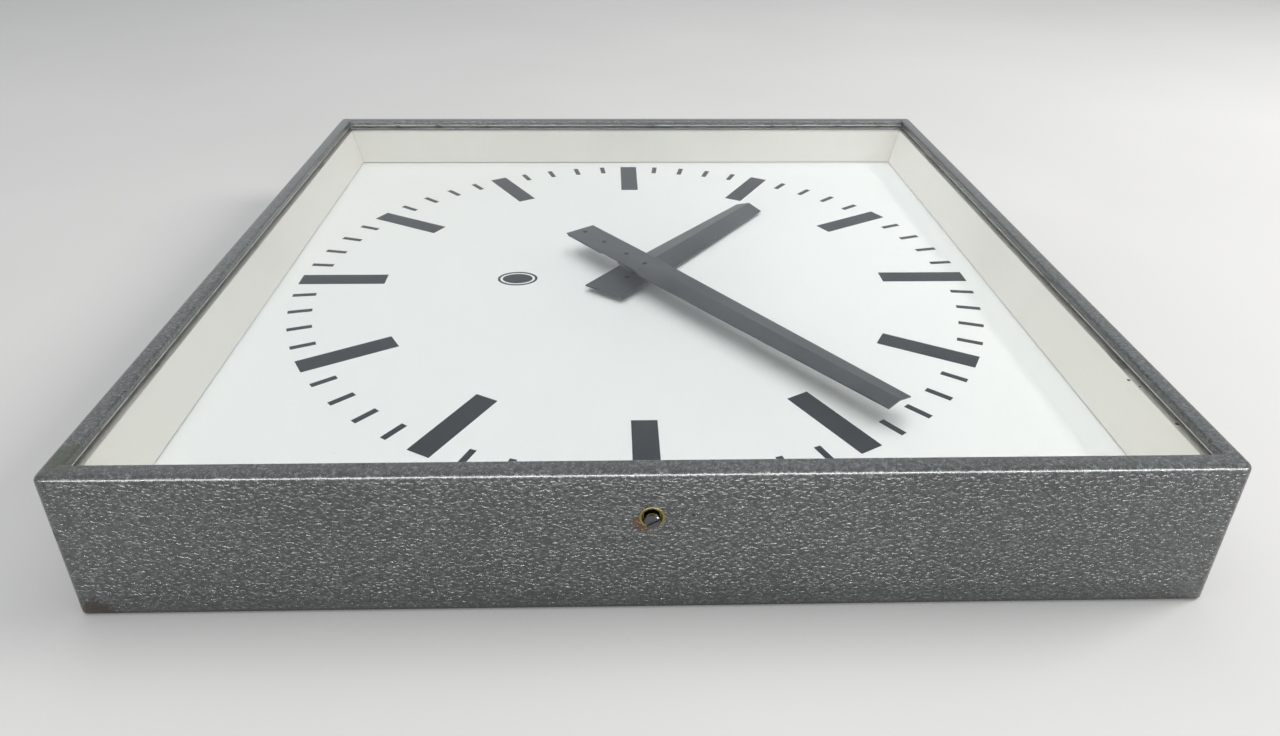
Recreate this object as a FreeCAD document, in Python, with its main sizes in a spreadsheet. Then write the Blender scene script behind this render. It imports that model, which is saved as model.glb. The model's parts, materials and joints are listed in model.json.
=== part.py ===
import FreeCAD, Part
import Sketcher
import math
import os
import re
from FreeCAD import Placement, Rotation, Vector

# Square steel slave wall clock, lying on its back, in millimetres.
# +Z points out of the dial, +Y to twelve o'clock, and the origin is the centre of the back face.

DRIVING = [
    # case and cover
    ("case_width", 500, "outside width and height of the cover"),
    ("case_depth", 75, "back face to front rim"),
    ("cover_sheet", 1.2, "cover sheet thickness"),
    ("skirt_bottom", 0.8, "lower edge of the cover above the wall"),
    ("corner_round", 4, "upright corner radius of the cover"),
    ("edge_round", 2.8, "front edge radius of the cover"),
    ("rim_width", 9.3, "flat rim in front of the glass"),
    ("rim_return", 4.5, "inner fold of the rim, front to back"),
    ("fold_round", 1.1, "radius of the rim's inner fold"),
    ("rear_gap", 0.5, "gap between cover skirt and rear box"),
    ("rear_sheet", 1.0, "rear box sheet thickness"),
    ("flange_opening", 232, "half the opening inside the rear box's front flange"),
    # dial
    ("dial_front", 40.5, "height of the dial's front face"),
    ("dial_sheet", 1.2, "dial thickness"),
    ("dial_half", 240, "half the dial's width"),
    ("dial_hole", 6, "radius of the dial's centre hole"),
    ("print_thick", 0.1, "thickness of the dial's printed marks"),
    ("mark_outer", 219, "outer radius of the hour and minute marks"),
    ("hour_mark_length", 55.6, "radial length of an hour mark"),
    ("hour_mark_width", 13.4, "width of an hour mark"),
    ("minute_mark_length", 14.5, "radial length of a minute mark"),
    ("minute_mark_width", 3.7, "width of a minute mark"),
    ("emblem_place", 77.5, "distance of the emblem from the centre"),
    ("emblem_half_width", 13, "half width of the oval emblem"),
    ("emblem_half_height", 10, "half height of the oval emblem"),
    ("emblem_line", 1.6, "width of the emblem's ring and of the gap inside it"),
    ("dial_screw_past", 1.5, "length of the dial screws behind the flange"),
    # glass and reveal
    ("glass_thick", 3, "glass thickness"),
    ("glass_half", 246.5, "half the glass pane's width"),
    ("seal_thick", 0.6, "thickness of the felt strip under the rim"),
    ("seal_width", 2.6, "distance of the felt strip's outer edge from the rim's fold"),
    ("seal_inset", 0.1, "distance of the felt strip's inner edge from the rim's fold"),
    ("reveal_sheet", 1.0, "reveal strip sheet thickness"),
    ("reveal_top_half", 239.5, "half the reveal's width at the glass"),
    ("reveal_dial_half", 231, "half the reveal's width at the dial"),
    ("reveal_gap", 0.6, "gap between reveal and dial"),
    ("mitre_gap", 0.15, "half the gap in a mitred corner"),
    ("cut_margin", 5, "how far cuts reach past the material"),
    ("reveal_screw_short", 0.1, "how far the reveal screws stay below the glass"),
    ("bracket_place", 150, "bracket and dial screw distance from the middle of a side"),
    ("bracket_width", 16, "width of a glass bracket"),
    ("bracket_height", 14, "height of a glass bracket"),
    ("bracket_reach", 7.8, "depth of a glass bracket's tab"),
    ("reveal_screw_half", 243.6, "distance of the reveal screws from the middle"),
    ("dial_screw_half", 236.6, "distance of the dial screws from the middle"),
    # small screws
    ("small_shank", 1.5, "radius of the M3 screws"),
    ("small_head", 2.75, "head radius of the M3 screws"),
    ("small_head_height", 1.8, "head height of the M3 screws"),
    ("small_slot", 0.8, "slot width and depth of the M3 screws"),
    ("small_hole", 1.6, "radius of a clearance hole for an M3 screw"),
    # lock
    ("lock_height", 51.7, "height of the lock screw's axis"),
    ("lock_hole", 5.6, "radius of the ferrule in the cover"),
    ("ferrule_proud", 0.3, "how far the ferrule stands out of the cover"),
    ("ferrule_length", 5.2, "length of the ferrule"),
    ("ferrule_cup", 4.3, "radius of the ferrule's cup"),
    ("ferrule_cup_depth", 2.4, "depth of the ferrule's cup"),
    ("ferrule_shoulder", 7, "radius of the ferrule's rear shoulder"),
    ("ferrule_step", 0.6, "how much slimmer the ferrule is behind its shoulder"),
    ("lock_head", 3.45, "radius of the lock screw's head"),
    ("lock_head_proud", 3.2, "how far the head stands out of the cover"),
    ("lock_shank", 3, "radius of the lock screw's M6 shank"),
    ("lock_end", 238.5, "distance of the screw's inner end from the middle"),
    ("lock_slot", 1.3, "width and depth of the lock screw's slot"),
    ("lock_point", 0.5, "chamfer at the lock screw's inner end"),
    ("lock_bevel", 0.4, "chamfer round the lock screw's head"),
    ("running_fit", 0.05, "radial clearance of a running fit"),
    ("tongue_face", 244.5, "distance of the lock tongue's front face from the middle"),
    ("tongue_half", 14, "half width of the lock tongue"),
    ("tongue_top", 58, "height of the lock tongue's top"),
    ("tongue_slot", 4, "half width of the slot in the lock tongue"),
    ("nut_half", 5, "half width of the square lock nut"),
    ("nut_thick", 3, "thickness of the square lock nut"),
    ("nut_gap", 0.1, "gap between the nut and the tongue"),
    ("nut_guide_depth", 4.2, "depth of the folds that stop the nut turning"),
    # fixing to the wall and cable entry
    ("wall_hole_place", 200, "distance of the wall screw holes from each centre line"),
    ("wall_hole", 3.25, "radius of the wall screw holes"),
    ("cable_across", 110, "cable entry right of the centre"),
    ("cable_down", 70, "cable entry below the centre"),
    ("cable_bore", 4, "radius of the grommet's bore"),
    ("grommet_neck", 7, "radius of the grommet's neck"),
    ("grommet_flange", 10, "radius of the grommet's flanges"),
    ("grommet_recess", 0.2, "distance of the grommet's outer flange from the wall"),
    ("grommet_lip", 1.5, "thickness of the grommet's inner flange"),
    ("dimple_depth", 1.2, "depth of the dimple that hides the grommet's flange"),
    ("dimple_round", 11, "radius of the dimple"),
    ("terminal_across", 85, "near edge of the terminal block"),
    ("terminal_long", 30, "length of the terminal block"),
    ("terminal_wide", 16, "width of the terminal block"),
    ("terminal_high", 10, "height of the terminal block"),
    ("terminal_screw_up", 7, "distance of the clamp screws from the block's middle"),
    # movement frame
    ("plate_half_long", 52, "half length of the movement plates"),
    ("plate_half_wide", 40, "half width of the movement plates"),
    ("plate_thick", 1.5, "movement plate thickness"),
    ("back_plate_low", 10.5, "underside of the movement's back plate"),
    ("plate_space", 18, "space between the movement plates"),
    ("post_across", 46, "movement post distance across"),
    ("post_up", 34, "movement post distance up"),
    ("post_radius", 4, "movement post radius"),
    ("pillar_across", 36, "pillar distance across"),
    ("pillar_up", 30, "pillar distance up"),
    ("pillar_radius", 3, "pillar radius"),
    ("screw_depth", 6, "how deep the movement's screws go"),
    ("bush_proud", 0.4, "how far the bushes stand out of the plates"),
    ("bush_large", 4, "radius of the centre bushes"),
    ("bush_small", 3, "radius of the other bushes"),
    ("centre_pivot", 0.8, "centre arbor behind the back plate"),
    ("inter_pivot_back", 0.5, "intermediate arbor behind the back plate"),
    ("inter_pivot_front", 0.3, "intermediate arbor in front of the front plate"),
    ("rotor_pivot_back", 0.3, "rotor arbor behind the back plate"),
    ("rotor_pivot_front", 0.1, "rotor arbor in front of the front plate"),
    # train
    ("train_module", 0.6, "module of the train"),
    ("motion_module", 0.8, "module of cannon pinion and minute wheel"),
    ("hour_module", 0.768, "module of minute pinion and hour wheel"),
    ("centre_teeth", 50, "teeth of the centre wheel"),
    ("inter_pinion_teeth", 10, "leaves of the intermediate pinion"),
    ("inter_teeth", 48, "teeth of the intermediate wheel"),
    ("rotor_teeth", 8, "leaves of the rotor pinion"),
    ("cannon_teeth", 12, "leaves of the cannon pinion"),
    ("minute_teeth", 36, "teeth of the minute wheel"),
    ("minute_pinion_teeth", 10, "leaves of the minute wheel's pinion"),
    ("hour_teeth", 40, "teeth of the hour wheel"),
    ("addendum", 0.9, "tooth height above the pitch circle, in modules"),
    ("dedendum", 1.2, "tooth depth below the pitch circle, in modules"),
    ("tooth_pitch_half", 0.62, "half tooth width at the pitch circle, in modules"),
    ("tooth_root_half", 0.8, "half tooth width at the root, in modules"),
    ("tooth_tip_half", 0.25, "half tooth width at the tip, in modules"),
    ("tooth_seat", 0.4, "how far a tooth reaches into its disc, in modules"),
    ("centre_arbor_radius", 1.5, "centre arbor radius"),
    ("inter_arbor_radius", 1.0, "intermediate arbor radius"),
    ("rotor_arbor_radius", 0.75, "rotor arbor radius"),
    ("stud_radius", 1.5, "minute wheel stud radius"),
    ("wheel_thick", 1.2, "thickness of the wheels"),
    ("centre_wheel_drop", 3.5, "front plate down to the centre wheel"),
    ("centre_hub_below", 2, "centre wheel's hub below the wheel"),
    ("centre_hub_height", 4.6, "length of the centre wheel's hub"),
    ("inter_wheel_drop", 7.5, "front plate down to the intermediate wheel"),
    ("inter_hub_below", 1.2, "intermediate wheel's hub below the wheel"),
    ("inter_hub_height", 3.4, "length of the intermediate wheel's hub"),
    ("pinion_below", 1.2, "train pinions below the wheel they turn"),
    ("pinion_length", 3.6, "length of the train's pinions"),
    ("cannon_gap", 0.8, "front plate up to the cannon pinion"),
    ("cannon_leaf_height", 2.6, "length of the cannon pinion's leaves"),
    ("minute_wheel_gap", 1.3, "front plate up to the minute wheel"),
    ("minute_seat", 1.2, "wall of the minute pinion inside its wheel"),
    ("minute_pinion_height", 3.3, "length of the minute wheel's pinion"),
    ("stud_spare", 0.7, "stud above the minute wheel's pinion"),
    ("clip_width", 1.4, "ring width of the stud's clip"),
    ("clip_thick", 0.4, "thickness of the stud's clip"),
    ("clip_drop", 0.2, "stud above its clip"),
    ("hour_wheel_gap", 4.1, "front plate up to the hour wheel"),
    ("cannon_pipe", 2.6, "outer radius of the cannon pipe"),
    ("hour_pipe_radius", 4, "outer radius of the hour pipe"),
    ("pipe_flange", 2, "width of the hour pipe's flange under its wheel"),
    ("pipe_flange_thick", 0.4, "thickness of the hour pipe's flange"),
    ("pipe_above", 2, "hour pipe above the underside of the hour hand"),
    ("pipe_step", 0.2, "step between the hand, the cannon pipe and the arbor"),
    # rotor, stator and coil
    ("magnet_radius", 7, "radius of the rotor magnet"),
    ("magnet_height", 7, "height of the rotor magnet"),
    ("magnet_low", 13.5, "underside of the rotor magnet"),
    ("pole_bore", 7.6, "radius of the bore in the pole pieces"),
    ("pole_low", 14, "underside of the pole pieces"),
    ("pole_thick", 6, "thickness of the pole pieces and the coil core"),
    ("pole_inner", 13, "inner edge of the pole pieces' arms"),
    ("pole_outer", 19, "outer edge of the pole pieces' arms"),
    ("pole_shoe_half", 10, "half length of a pole shoe"),
    ("pole_shoe_gap", 2.5, "half the gap between the pole shoes"),
    ("core_near", 59, "left edge of the coil core"),
    ("core_far", 65, "right edge of the coil core"),
    ("coil_radius", 8.4, "outer radius of the winding"),
    ("bobbin_flange", 9.2, "radius of the bobbin's flanges"),
    ("bobbin_tube", 5.4, "radius of the bobbin's tube"),
    ("bobbin_wall", 1.5, "thickness of the bobbin's flanges"),
    ("bobbin_hole_half", 3.1, "half width of the bobbin's square hole"),
    ("stator_screw_across", 20, "stator screw distance across"),
    ("stator_screw_up", 16, "stator screw distance up"),
    # hands
    ("hand_sheet", 1.0, "thickness of both hands"),
    ("minute_angle", 142.9, "minute hand, degrees clockwise from twelve"),
    ("hour_angle", 37.7, "hour hand, degrees clockwise from twelve"),
    ("minute_low", 53.8, "underside of the minute hand's flat tail"),
    ("minute_tail", 62, "length of the minute hand's tail"),
    ("minute_tail_half", 11.3, "half width of the minute hand's tail"),
    ("minute_root_half", 12.5, "half width at the root of the minute hand"),
    ("minute_tip_half", 8.7, "half width at the tip of the minute hand"),
    ("minute_length", 211, "length of the minute hand from the centre"),
    ("minute_ridge", 1.5, "ridge of the minute hand above the tail's underside"),
    ("minute_edge", -0.1, "edge of the minute hand above the tail's underside"),
    ("hour_low", 44, "underside of the hour hand's flat tail"),
    ("hour_tail", 34.5, "length of the hour hand's tail"),
    ("hour_tail_half", 14.4, "half width of the hour hand's tail"),
    ("hour_root_half", 14.6, "half width at the root of the hour hand"),
    ("hour_tip_half", 10.7, "half width at the tip of the hour hand"),
    ("hour_length", 149, "length of the hour hand from the centre"),
    ("hour_ridge", 3.1, "ridge of the hour hand above the tail's underside"),
    ("hour_edge", -0.8, "edge of the hour hand above the tail's underside"),
    ("blade_start", 12, "where the flat middle of a hand ends"),
    ("blade_full", 20, "where the folded blade reaches its full height"),
    ("hub_flange", 12, "radius of the hands' hub flanges"),
    ("hub_thick", 1.2, "thickness of the hub flanges"),
    ("hub_neck", 5.5, "radius of the hubs' necks"),
    ("hour_hub_gap", 1, "gap between the dial and the hour hand's hub"),
    ("minute_hub_gap", 1.5, "gap between the hour pipe and the minute hand's hub"),
    ("rivet_radius", 1.2, "radius of the rivets"),
    ("rivet_head", 1.7, "radius of the rivet heads"),
    ("rivet_proud", 0.25, "height of the rivet heads"),
    ("rivet_place", 9.5, "rivet distance from the centre of a hand"),
    ("weight_thick", 1.2, "thickness of the counterweight"),
    ("weight_half", 10.6, "half width of the counterweight"),
    ("weight_end", 24, "inner end of the counterweight from the centre"),
    ("weight_short", 0.4, "counterweight shorter than the tail at its outer end"),
    ("weight_rivet_near", 33.8, "inner counterweight rivet from the centre"),
    ("weight_rivet_far", 55.7, "outer counterweight rivet from the centre"),
    # lead wires
    ("wire_radius", 0.6, "radius of the insulated lead wires"),
    ("wire_bend", 4, "bend radius of the lead wires"),
    ("wire_gap", 2, "gap between the bobbin's flange and the rising wires"),
    ("wire_entry", 5, "height of the wires over the floor at the terminal block"),
]

# Sizes that follow from the driving ones.
DERIVED = [
    ("case_half", "case_width / 2"),
    ("skirt_inner", "case_half - cover_sheet"),
    ("rim_inner", "case_half - rim_width"),
    ("return_outer", "rim_inner + cover_sheet"),
    ("return_low", "case_depth - rim_return"),
    ("rear_half", "skirt_inner - rear_gap"),
    ("rear_inner", "rear_half - rear_sheet"),
    ("dial_back", "dial_front - dial_sheet"),
    ("flange_low", "dial_back - rear_sheet"),
    ("glass_front", "return_low - seal_thick"),
    ("glass_back", "glass_front - glass_thick"),
    ("reveal_low", "dial_front + reveal_gap"),
    ("tab_top", "glass_back - reveal_sheet"),
    ("tongue_back", "tongue_face - rear_sheet"),
    ("cup_floor", "case_half + ferrule_proud - ferrule_cup_depth"),
    ("lock_bore", "lock_shank + running_fit"),
    ("back_plate_top", "back_plate_low + plate_thick"),
    ("front_plate_low", "back_plate_top + plate_space"),
    ("front_plate_top", "front_plate_low + plate_thick"),
    ("motion_centres", "motion_module * (cannon_teeth + minute_teeth) / 2"),
    ("centre_to_inter", "train_module * (centre_teeth + inter_pinion_teeth) / 2"),
    ("inter_to_rotor", "train_module * (inter_teeth + rotor_teeth) / 2"),
    ("rotor_across", "-centre_to_inter - inter_to_rotor"),
    ("cannon_bore", "centre_arbor_radius + running_fit"),
    ("hour_bore", "cannon_pipe + running_fit"),
    ("stud_bore", "stud_radius + running_fit"),
    ("centre_wheel_low", "front_plate_low - centre_wheel_drop"),
    ("inter_wheel_low", "front_plate_low - inter_wheel_drop"),
    ("cannon_low", "front_plate_top + cannon_gap"),
    ("minute_wheel_low", "front_plate_top + minute_wheel_gap"),
    ("minute_wheel_top", "minute_wheel_low + wheel_thick"),
    ("hour_wheel_low", "front_plate_top + hour_wheel_gap"),
    ("stud_top", "minute_wheel_top + minute_pinion_height + stud_spare"),
    ("core_middle", "(core_near + core_far) / 2"),
    ("core_height", "pole_low + pole_thick / 2"),
    ("hour_pipe_top", "hour_low + pipe_above"),
    ("cannon_top", "minute_low - pipe_step"),
    ("arbor_top", "cannon_top - pipe_step"),
    ("terminal_top", "rear_sheet + terminal_high"),
    ("stud_seat", "stud_bore + minute_seat"),
]

# Degrees between the slots of neighbouring screws, and the tilt of the lock screw's slot.
SLOT_TURN = 35
LOCK_SLOT_TURN = 30

doc = FreeCAD.newDocument("SlaveClock")
sheet = doc.addObject("Spreadsheet::Sheet", "Sizes")
for row, (alias, number, note) in enumerate(DRIVING, start=1):
    sheet.set(f"A{row}", note)
    sheet.set(f"B{row}", str(number))
    sheet.setAlias(f"B{row}", alias)
for row, (alias, text) in enumerate(DERIVED, start=len(DRIVING) + 1):
    sheet.set(f"A{row}", alias.replace("_", " "))
    sheet.set(f"B{row}", "=" + text)
    sheet.setAlias(f"B{row}", alias)
doc.recompute()

ALIASES = {entry[0] for entry in DRIVING + DERIVED}
SUB_PARTS = []


def formula(text):
    """Point every name in the text at its cell in the sheet."""
    def spell(match):
        name = match.group(0)
        return "Sizes." + name if name in ALIASES else name
    return re.sub(r"[a-z][a-z_]*", spell, text)


def value(text):
    return float(sheet.evalExpression(formula(text)))


def bind(item, path, text):
    item.setExpression(path, formula(text))


# ---------------------------------------------------------------- sketches and features

def new_body(label):
    body = doc.addObject("PartDesign::Body", label)
    body.Label = label
    return body


def sketch_on(body, role, height="0"):
    """A sketch parallel to one of the body's own planes, moved along its normal."""
    sketch = body.newObject("Sketcher::SketchObject", body.Label + "_sketch")
    plane = [item for item in body.Origin.OriginFeatures if item.Role == role][0]
    sketch.AttachmentSupport = [(plane, "")]
    sketch.MapMode = "FlatFace"
    bind(sketch, "AttachmentOffset.Base.z", height)
    return sketch


def fix_point(sketch, geometry, end, across, up):
    """Tie one point of a sketch to the sheet, by its two coordinates."""
    for kind, axis, text in (("DistanceX", -2, across), ("DistanceY", -1, up)):
        number = value(text)
        if abs(number) < 1e-9:
            sketch.addConstraint(Sketcher.Constraint("PointOnObject", geometry, end, axis))
            continue
        index = sketch.addConstraint(Sketcher.Constraint(kind, -1, 1, geometry, end, number))
        sketch.setExpression(f"Constraints[{index}]", formula(text))


def outline(sketch, points):
    """A closed polygon whose corners are pairs of formulas."""
    corners = [Vector(value(across), value(up), 0) for across, up in points]
    first = sketch.GeometryCount
    count = len(corners)
    for index in range(count):
        line = Part.LineSegment(corners[index], corners[(index + 1) % count])
        sketch.addGeometry(line, False)
    for index in range(count):
        following = first + (index + 1) % count
        sketch.addConstraint(Sketcher.Constraint("Coincident", first + index, 2, following, 1))
    for index, (across, up) in enumerate(points):
        fix_point(sketch, first + index, 1, across, up)


def rectangle(sketch, left, right, low, high):
    outline(sketch, [(left, low), (right, low), (right, high), (left, high)])


def square(sketch, half):
    rectangle(sketch, f"-({half})", half, f"-({half})", half)


def circle(sketch, radius, across="0", up="0"):
    centre = Vector(value(across), value(up), 0)
    geometry = sketch.addGeometry(Part.Circle(centre, Vector(0, 0, 1), value(radius)), False)
    index = sketch.addConstraint(Sketcher.Constraint("Radius", geometry, value(radius)))
    sketch.setExpression(f"Constraints[{index}]", formula(radius))
    fix_point(sketch, geometry, 3, across, up)


def pad(body, sketch, length, symmetric=False):
    feature = body.newObject("PartDesign::Pad", body.Label + "_pad")
    feature.Profile = sketch
    feature.Midplane = symmetric
    bind(feature, "Length", length)
    sketch.Visibility = False
    return feature


def cut_through(body, sketch):
    """A pocket through everything on both sides of its sketch."""
    feature = body.newObject("PartDesign::Pocket", body.Label + "_pocket")
    feature.Profile = sketch
    feature.Type = "ThroughAll"
    feature.Midplane = True
    sketch.Visibility = False
    return feature


def cut_up(body, sketch, depth):
    """A pocket that goes from its sketch to the side of the sketch's normal."""
    feature = body.newObject("PartDesign::Pocket", body.Label + "_pocket")
    feature.Profile = sketch
    feature.Reversed = True
    bind(feature, "Length", depth)
    sketch.Visibility = False
    return feature


def plate(body, low, thick, shape, *arguments):
    """Pad one simple outline that lies level at a height."""
    sketch = sketch_on(body, "XY_Plane", low)
    shape(sketch, *arguments)
    return pad(body, sketch, thick)


def turned(body, points):
    """Revolve a profile of (radius, height) points about the body's Z axis."""
    sketch = sketch_on(body, "XZ_Plane")
    outline(sketch, points)
    feature = body.newObject("PartDesign::Revolution", body.Label + "_turn")
    feature.Profile = sketch
    feature.ReferenceAxis = (sketch, ["V_Axis"])
    feature.Angle = 360
    sketch.Visibility = False
    return feature


def bored_ring(body, outer, inner, low, high):
    return turned(body, [(inner, low), (outer, low), (outer, high), (inner, high)])


def drill(body, holes):
    """Drill upright holes right through, given as (radius, across, up)."""
    sketch = sketch_on(body, "XY_Plane")
    for radius, across, up in holes:
        circle(sketch, radius, across, up)
    return cut_through(body, sketch)


def four_corners(across, up):
    return [(f"{x_sign}{across}", f"{y_sign}{up}") for x_sign in ("", "-") for y_sign in ("", "-")]


def place(item, across="0", up="0", height="0", turn=0.0, axis=(0, 0, 1)):
    item.Placement = Placement(Vector(0, 0, 0), Rotation(Vector(*axis), turn))
    bind(item, "Placement.Base.x", across)
    bind(item, "Placement.Base.y", up)
    bind(item, "Placement.Base.z", height)


def keep(item):
    """Mark an object as a sub-part that gets a file of its own."""
    SUB_PARTS.append(item)
    return item


def group(label, master, spots):
    """Separate copies of a master solid, each at (x, y, z, turn about Z in degrees)."""
    doc.recompute()
    copies = []
    for across, up, height, turn in spots:
        copy = master.Shape.copy()
        move = Placement(Vector(across, up, height), Rotation(Vector(0, 0, 1), turn))
        copy.Placement = move.multiply(master.Shape.Placement)
        copies.append(copy)
    feature = doc.addObject("Part::Feature", label)
    feature.Shape = Part.makeCompound(copies)
    feature.Label = label
    return keep(feature)


# ---------------------------------------------------------------- rear box and dial

def make_rear_box():
    """Folded steel tray with a front flange for the dial and a slotted tongue for the lock."""
    body = new_body("rear_box")
    plate(body, "0", "rear_sheet", square, "rear_half")
    walls = sketch_on(body, "XY_Plane", "rear_sheet")
    square(walls, "rear_half")
    square(walls, "rear_inner")
    pad(body, walls, "flange_low - rear_sheet")
    flange = sketch_on(body, "XY_Plane", "flange_low")
    square(flange, "rear_half")
    square(flange, "flange_opening")
    pad(body, flange, "rear_sheet")
    sides = ("-tongue_half", "tongue_half")
    faces = ("-tongue_face", "-tongue_back")
    plate(body, "flange_low", "tongue_top - flange_low", rectangle, *sides, *faces)
    guide = "(nut_half + rear_gap)"
    for inner, outer in ((guide, f"({guide} + rear_sheet)"), (f"-({guide} + rear_sheet)", f"-{guide}")):
        sketch = sketch_on(body, "XY_Plane", "dial_front + reveal_gap")
        rectangle(sketch, inner, outer, "-tongue_back", "-tongue_back + nut_guide_depth")
        pad(body, sketch, "tongue_top - dial_front - reveal_gap")
    slot = sketch_on(body, "XZ_Plane", "tongue_back - rear_sheet")
    low = "lock_height - tongue_slot"
    rectangle(slot, "-tongue_slot", "tongue_slot", low, "tongue_top + cut_margin")
    cut_up(body, slot, "4 * rear_sheet")
    entry = ("cable_across", "-cable_down")
    plate(body, "rear_sheet", "dimple_depth", circle, "dimple_round + rear_sheet", *entry)
    dimple = sketch_on(body, "XY_Plane")
    circle(dimple, "dimple_round", *entry)
    cut_up(body, dimple, "dimple_depth")
    holes = [("wall_hole", x, y) for x, y in four_corners("wall_hole_place", "wall_hole_place")]
    holes.append(("grommet_neck", *entry))
    drill(body, holes)
    sketch = sketch_on(body, "XY_Plane", "flange_low - rear_sheet")
    for x, y in dial_screw_formulas():
        circle(sketch, "small_hole", x, y)
    cut_up(body, sketch, "2 * rear_sheet + dial_sheet")
    return keep(body)


def dial_screw_formulas():
    spots = four_corners("dial_screw_half", "bracket_place")
    return spots + four_corners("bracket_place", "dial_screw_half")


def make_grommet():
    """Rubber cable grommet with one flange in the dimple and one inside the box."""
    body = new_body("cable_grommet")
    floor = "dimple_depth"
    inside = "dimple_depth + rear_sheet"
    turned(body, [
        ("cable_bore", "grommet_recess"),
        ("grommet_flange", "grommet_recess"),
        ("grommet_flange", floor),
        ("grommet_neck", floor),
        ("grommet_neck", inside),
        ("grommet_flange", inside),
        ("grommet_flange", f"{inside} + grommet_lip"),
        ("cable_bore", f"{inside} + grommet_lip"),
    ])
    place(body, "cable_across", "-cable_down")
    return keep(body)


def make_dial():
    body = new_body("dial_plate")
    plate(body, "dial_back", "dial_sheet", square, "dial_half")
    holes = [("small_hole", x, y) for x, y in dial_screw_formulas()]
    holes.append(("dial_hole", "0", "0"))
    drill(body, holes)
    return keep(body)


def make_marks():
    """Twelve hour marks and forty-eight minute marks, as thin printed solids."""
    for label, length, width, hours in (
        ("hour_marks", "hour_mark_length", "hour_mark_width", True),
        ("minute_marks", "minute_mark_length", "minute_mark_width", False),
    ):
        master = doc.addObject("Part::Box", label + "_master")
        bind(master, "Length", length)
        bind(master, "Width", width)
        bind(master, "Height", "print_thick")
        start = value("mark_outer") - value(length)
        side = value(width) / 2
        spots = []
        for minute in range(60):
            if (minute % 5 == 0) != hours:
                continue
            turn = math.radians(90 - 6 * minute)
            across = start * math.cos(turn) + side * math.sin(turn)
            up = start * math.sin(turn) - side * math.cos(turn)
            spots.append((across, up, value("dial_front"), math.degrees(turn)))
        group(label, master, spots)


def emblem_oval(step):
    """An oval face, smaller by so many line widths than the emblem."""
    inset = step * value("emblem_line")
    wide = value("emblem_half_width") - inset
    high = value("emblem_half_height") - inset
    return Part.Face(Part.Wire(Part.Ellipse(Vector(0, 0, 0), wide, high).toShape()))


def make_emblem():
    """Plain oval mark: a ring around a smaller oval."""
    thickness = Vector(0, 0, value("print_thick"))
    ring = emblem_oval(0).cut(emblem_oval(1)).Faces[0]
    feature = doc.addObject("Part::Feature", "dial_emblem")
    feature.Shape = Part.makeCompound([ring.extrude(thickness), emblem_oval(2).extrude(thickness)])
    feature.Label = "dial_emblem"
    place(feature, "-emblem_place", "0", "dial_front")
    return keep(feature)


# ---------------------------------------------------------------- screws

def screw_master(label, shank_length):
    """M3 cheese-head screw, head up from z = 0, shank down."""
    body = new_body(label)
    turned(body, [
        ("0", f"-({shank_length})"),
        ("small_shank", f"-({shank_length})"),
        ("small_shank", "0"),
        ("small_head", "0"),
        ("small_head", "small_head_height"),
        ("0", "small_head_height"),
    ])
    slot = sketch_on(body, "XY_Plane", "small_head_height - small_slot")
    rectangle(slot, "-small_head", "small_head", "-small_slot / 2", "small_slot / 2")
    cut_up(body, slot, "small_slot + cut_margin")
    return body


def flipped(label, master):
    """A copy of a master that hangs head down."""
    doc.recompute()
    shape = master.Shape.copy()
    shape.rotate(Vector(0, 0, 0), Vector(1, 0, 0), 180)
    feature = doc.addObject("Part::Feature", label)
    feature.Shape = shape
    return feature


def slotted(spots, height):
    """Places at one height, each with its screw slot turned a step further."""
    return [(x, y, height, SLOT_TURN * index) for index, (x, y) in enumerate(spots)]


def number_corners(across, up):
    return [(x * value(across), y * value(up)) for x in (1, -1) for y in (1, -1)]


def make_dial_screws():
    master = screw_master("dial_screw_master", "dial_sheet + rear_sheet + dial_screw_past")
    spots = number_corners("dial_screw_half", "bracket_place")
    spots += number_corners("bracket_place", "dial_screw_half")
    group("dial_screws", master, slotted(spots, value("dial_front")))


# ---------------------------------------------------------------- movement frame

def make_posts():
    """Posts that carry the movement on the floor of the rear box."""
    body = new_body("movement_post_master")
    bored_ring(body, "post_radius", "small_shank", "rear_sheet", "back_plate_low")
    corners = number_corners("post_across", "post_up")
    group("movement_posts", body, [(x, y, 0, 0) for x, y in corners])
    master = screw_master("post_screw_master", "plate_thick + screw_depth")
    group("post_screws", master, slotted(corners, value("back_plate_top")))


def make_pillars():
    """Pillars between the two plates, each with a screw at both ends."""
    body = new_body("pillar_master")
    bored_ring(body, "pillar_radius", "small_shank", "back_plate_top", "front_plate_low")
    corners = number_corners("pillar_across", "pillar_up")
    group("pillars", body, [(x, y, 0, 0) for x, y in corners])
    master = screw_master("pillar_screw_master", "plate_thick + screw_depth")
    group("front_plate_screws", master, slotted(corners, value("front_plate_top")))
    upside_down = flipped("back_screw_master", master)
    group("back_plate_screws", upside_down, slotted(corners, value("back_plate_low")))


def arbor_places():
    """Radius of the bush and across position of each arbor."""
    return (
        ("bush_large", "0", "cannon_bore"),
        ("bush_small", "-centre_to_inter", "inter_arbor_radius + running_fit"),
        ("bush_small", "rotor_across", "rotor_arbor_radius + running_fit"),
    )


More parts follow.
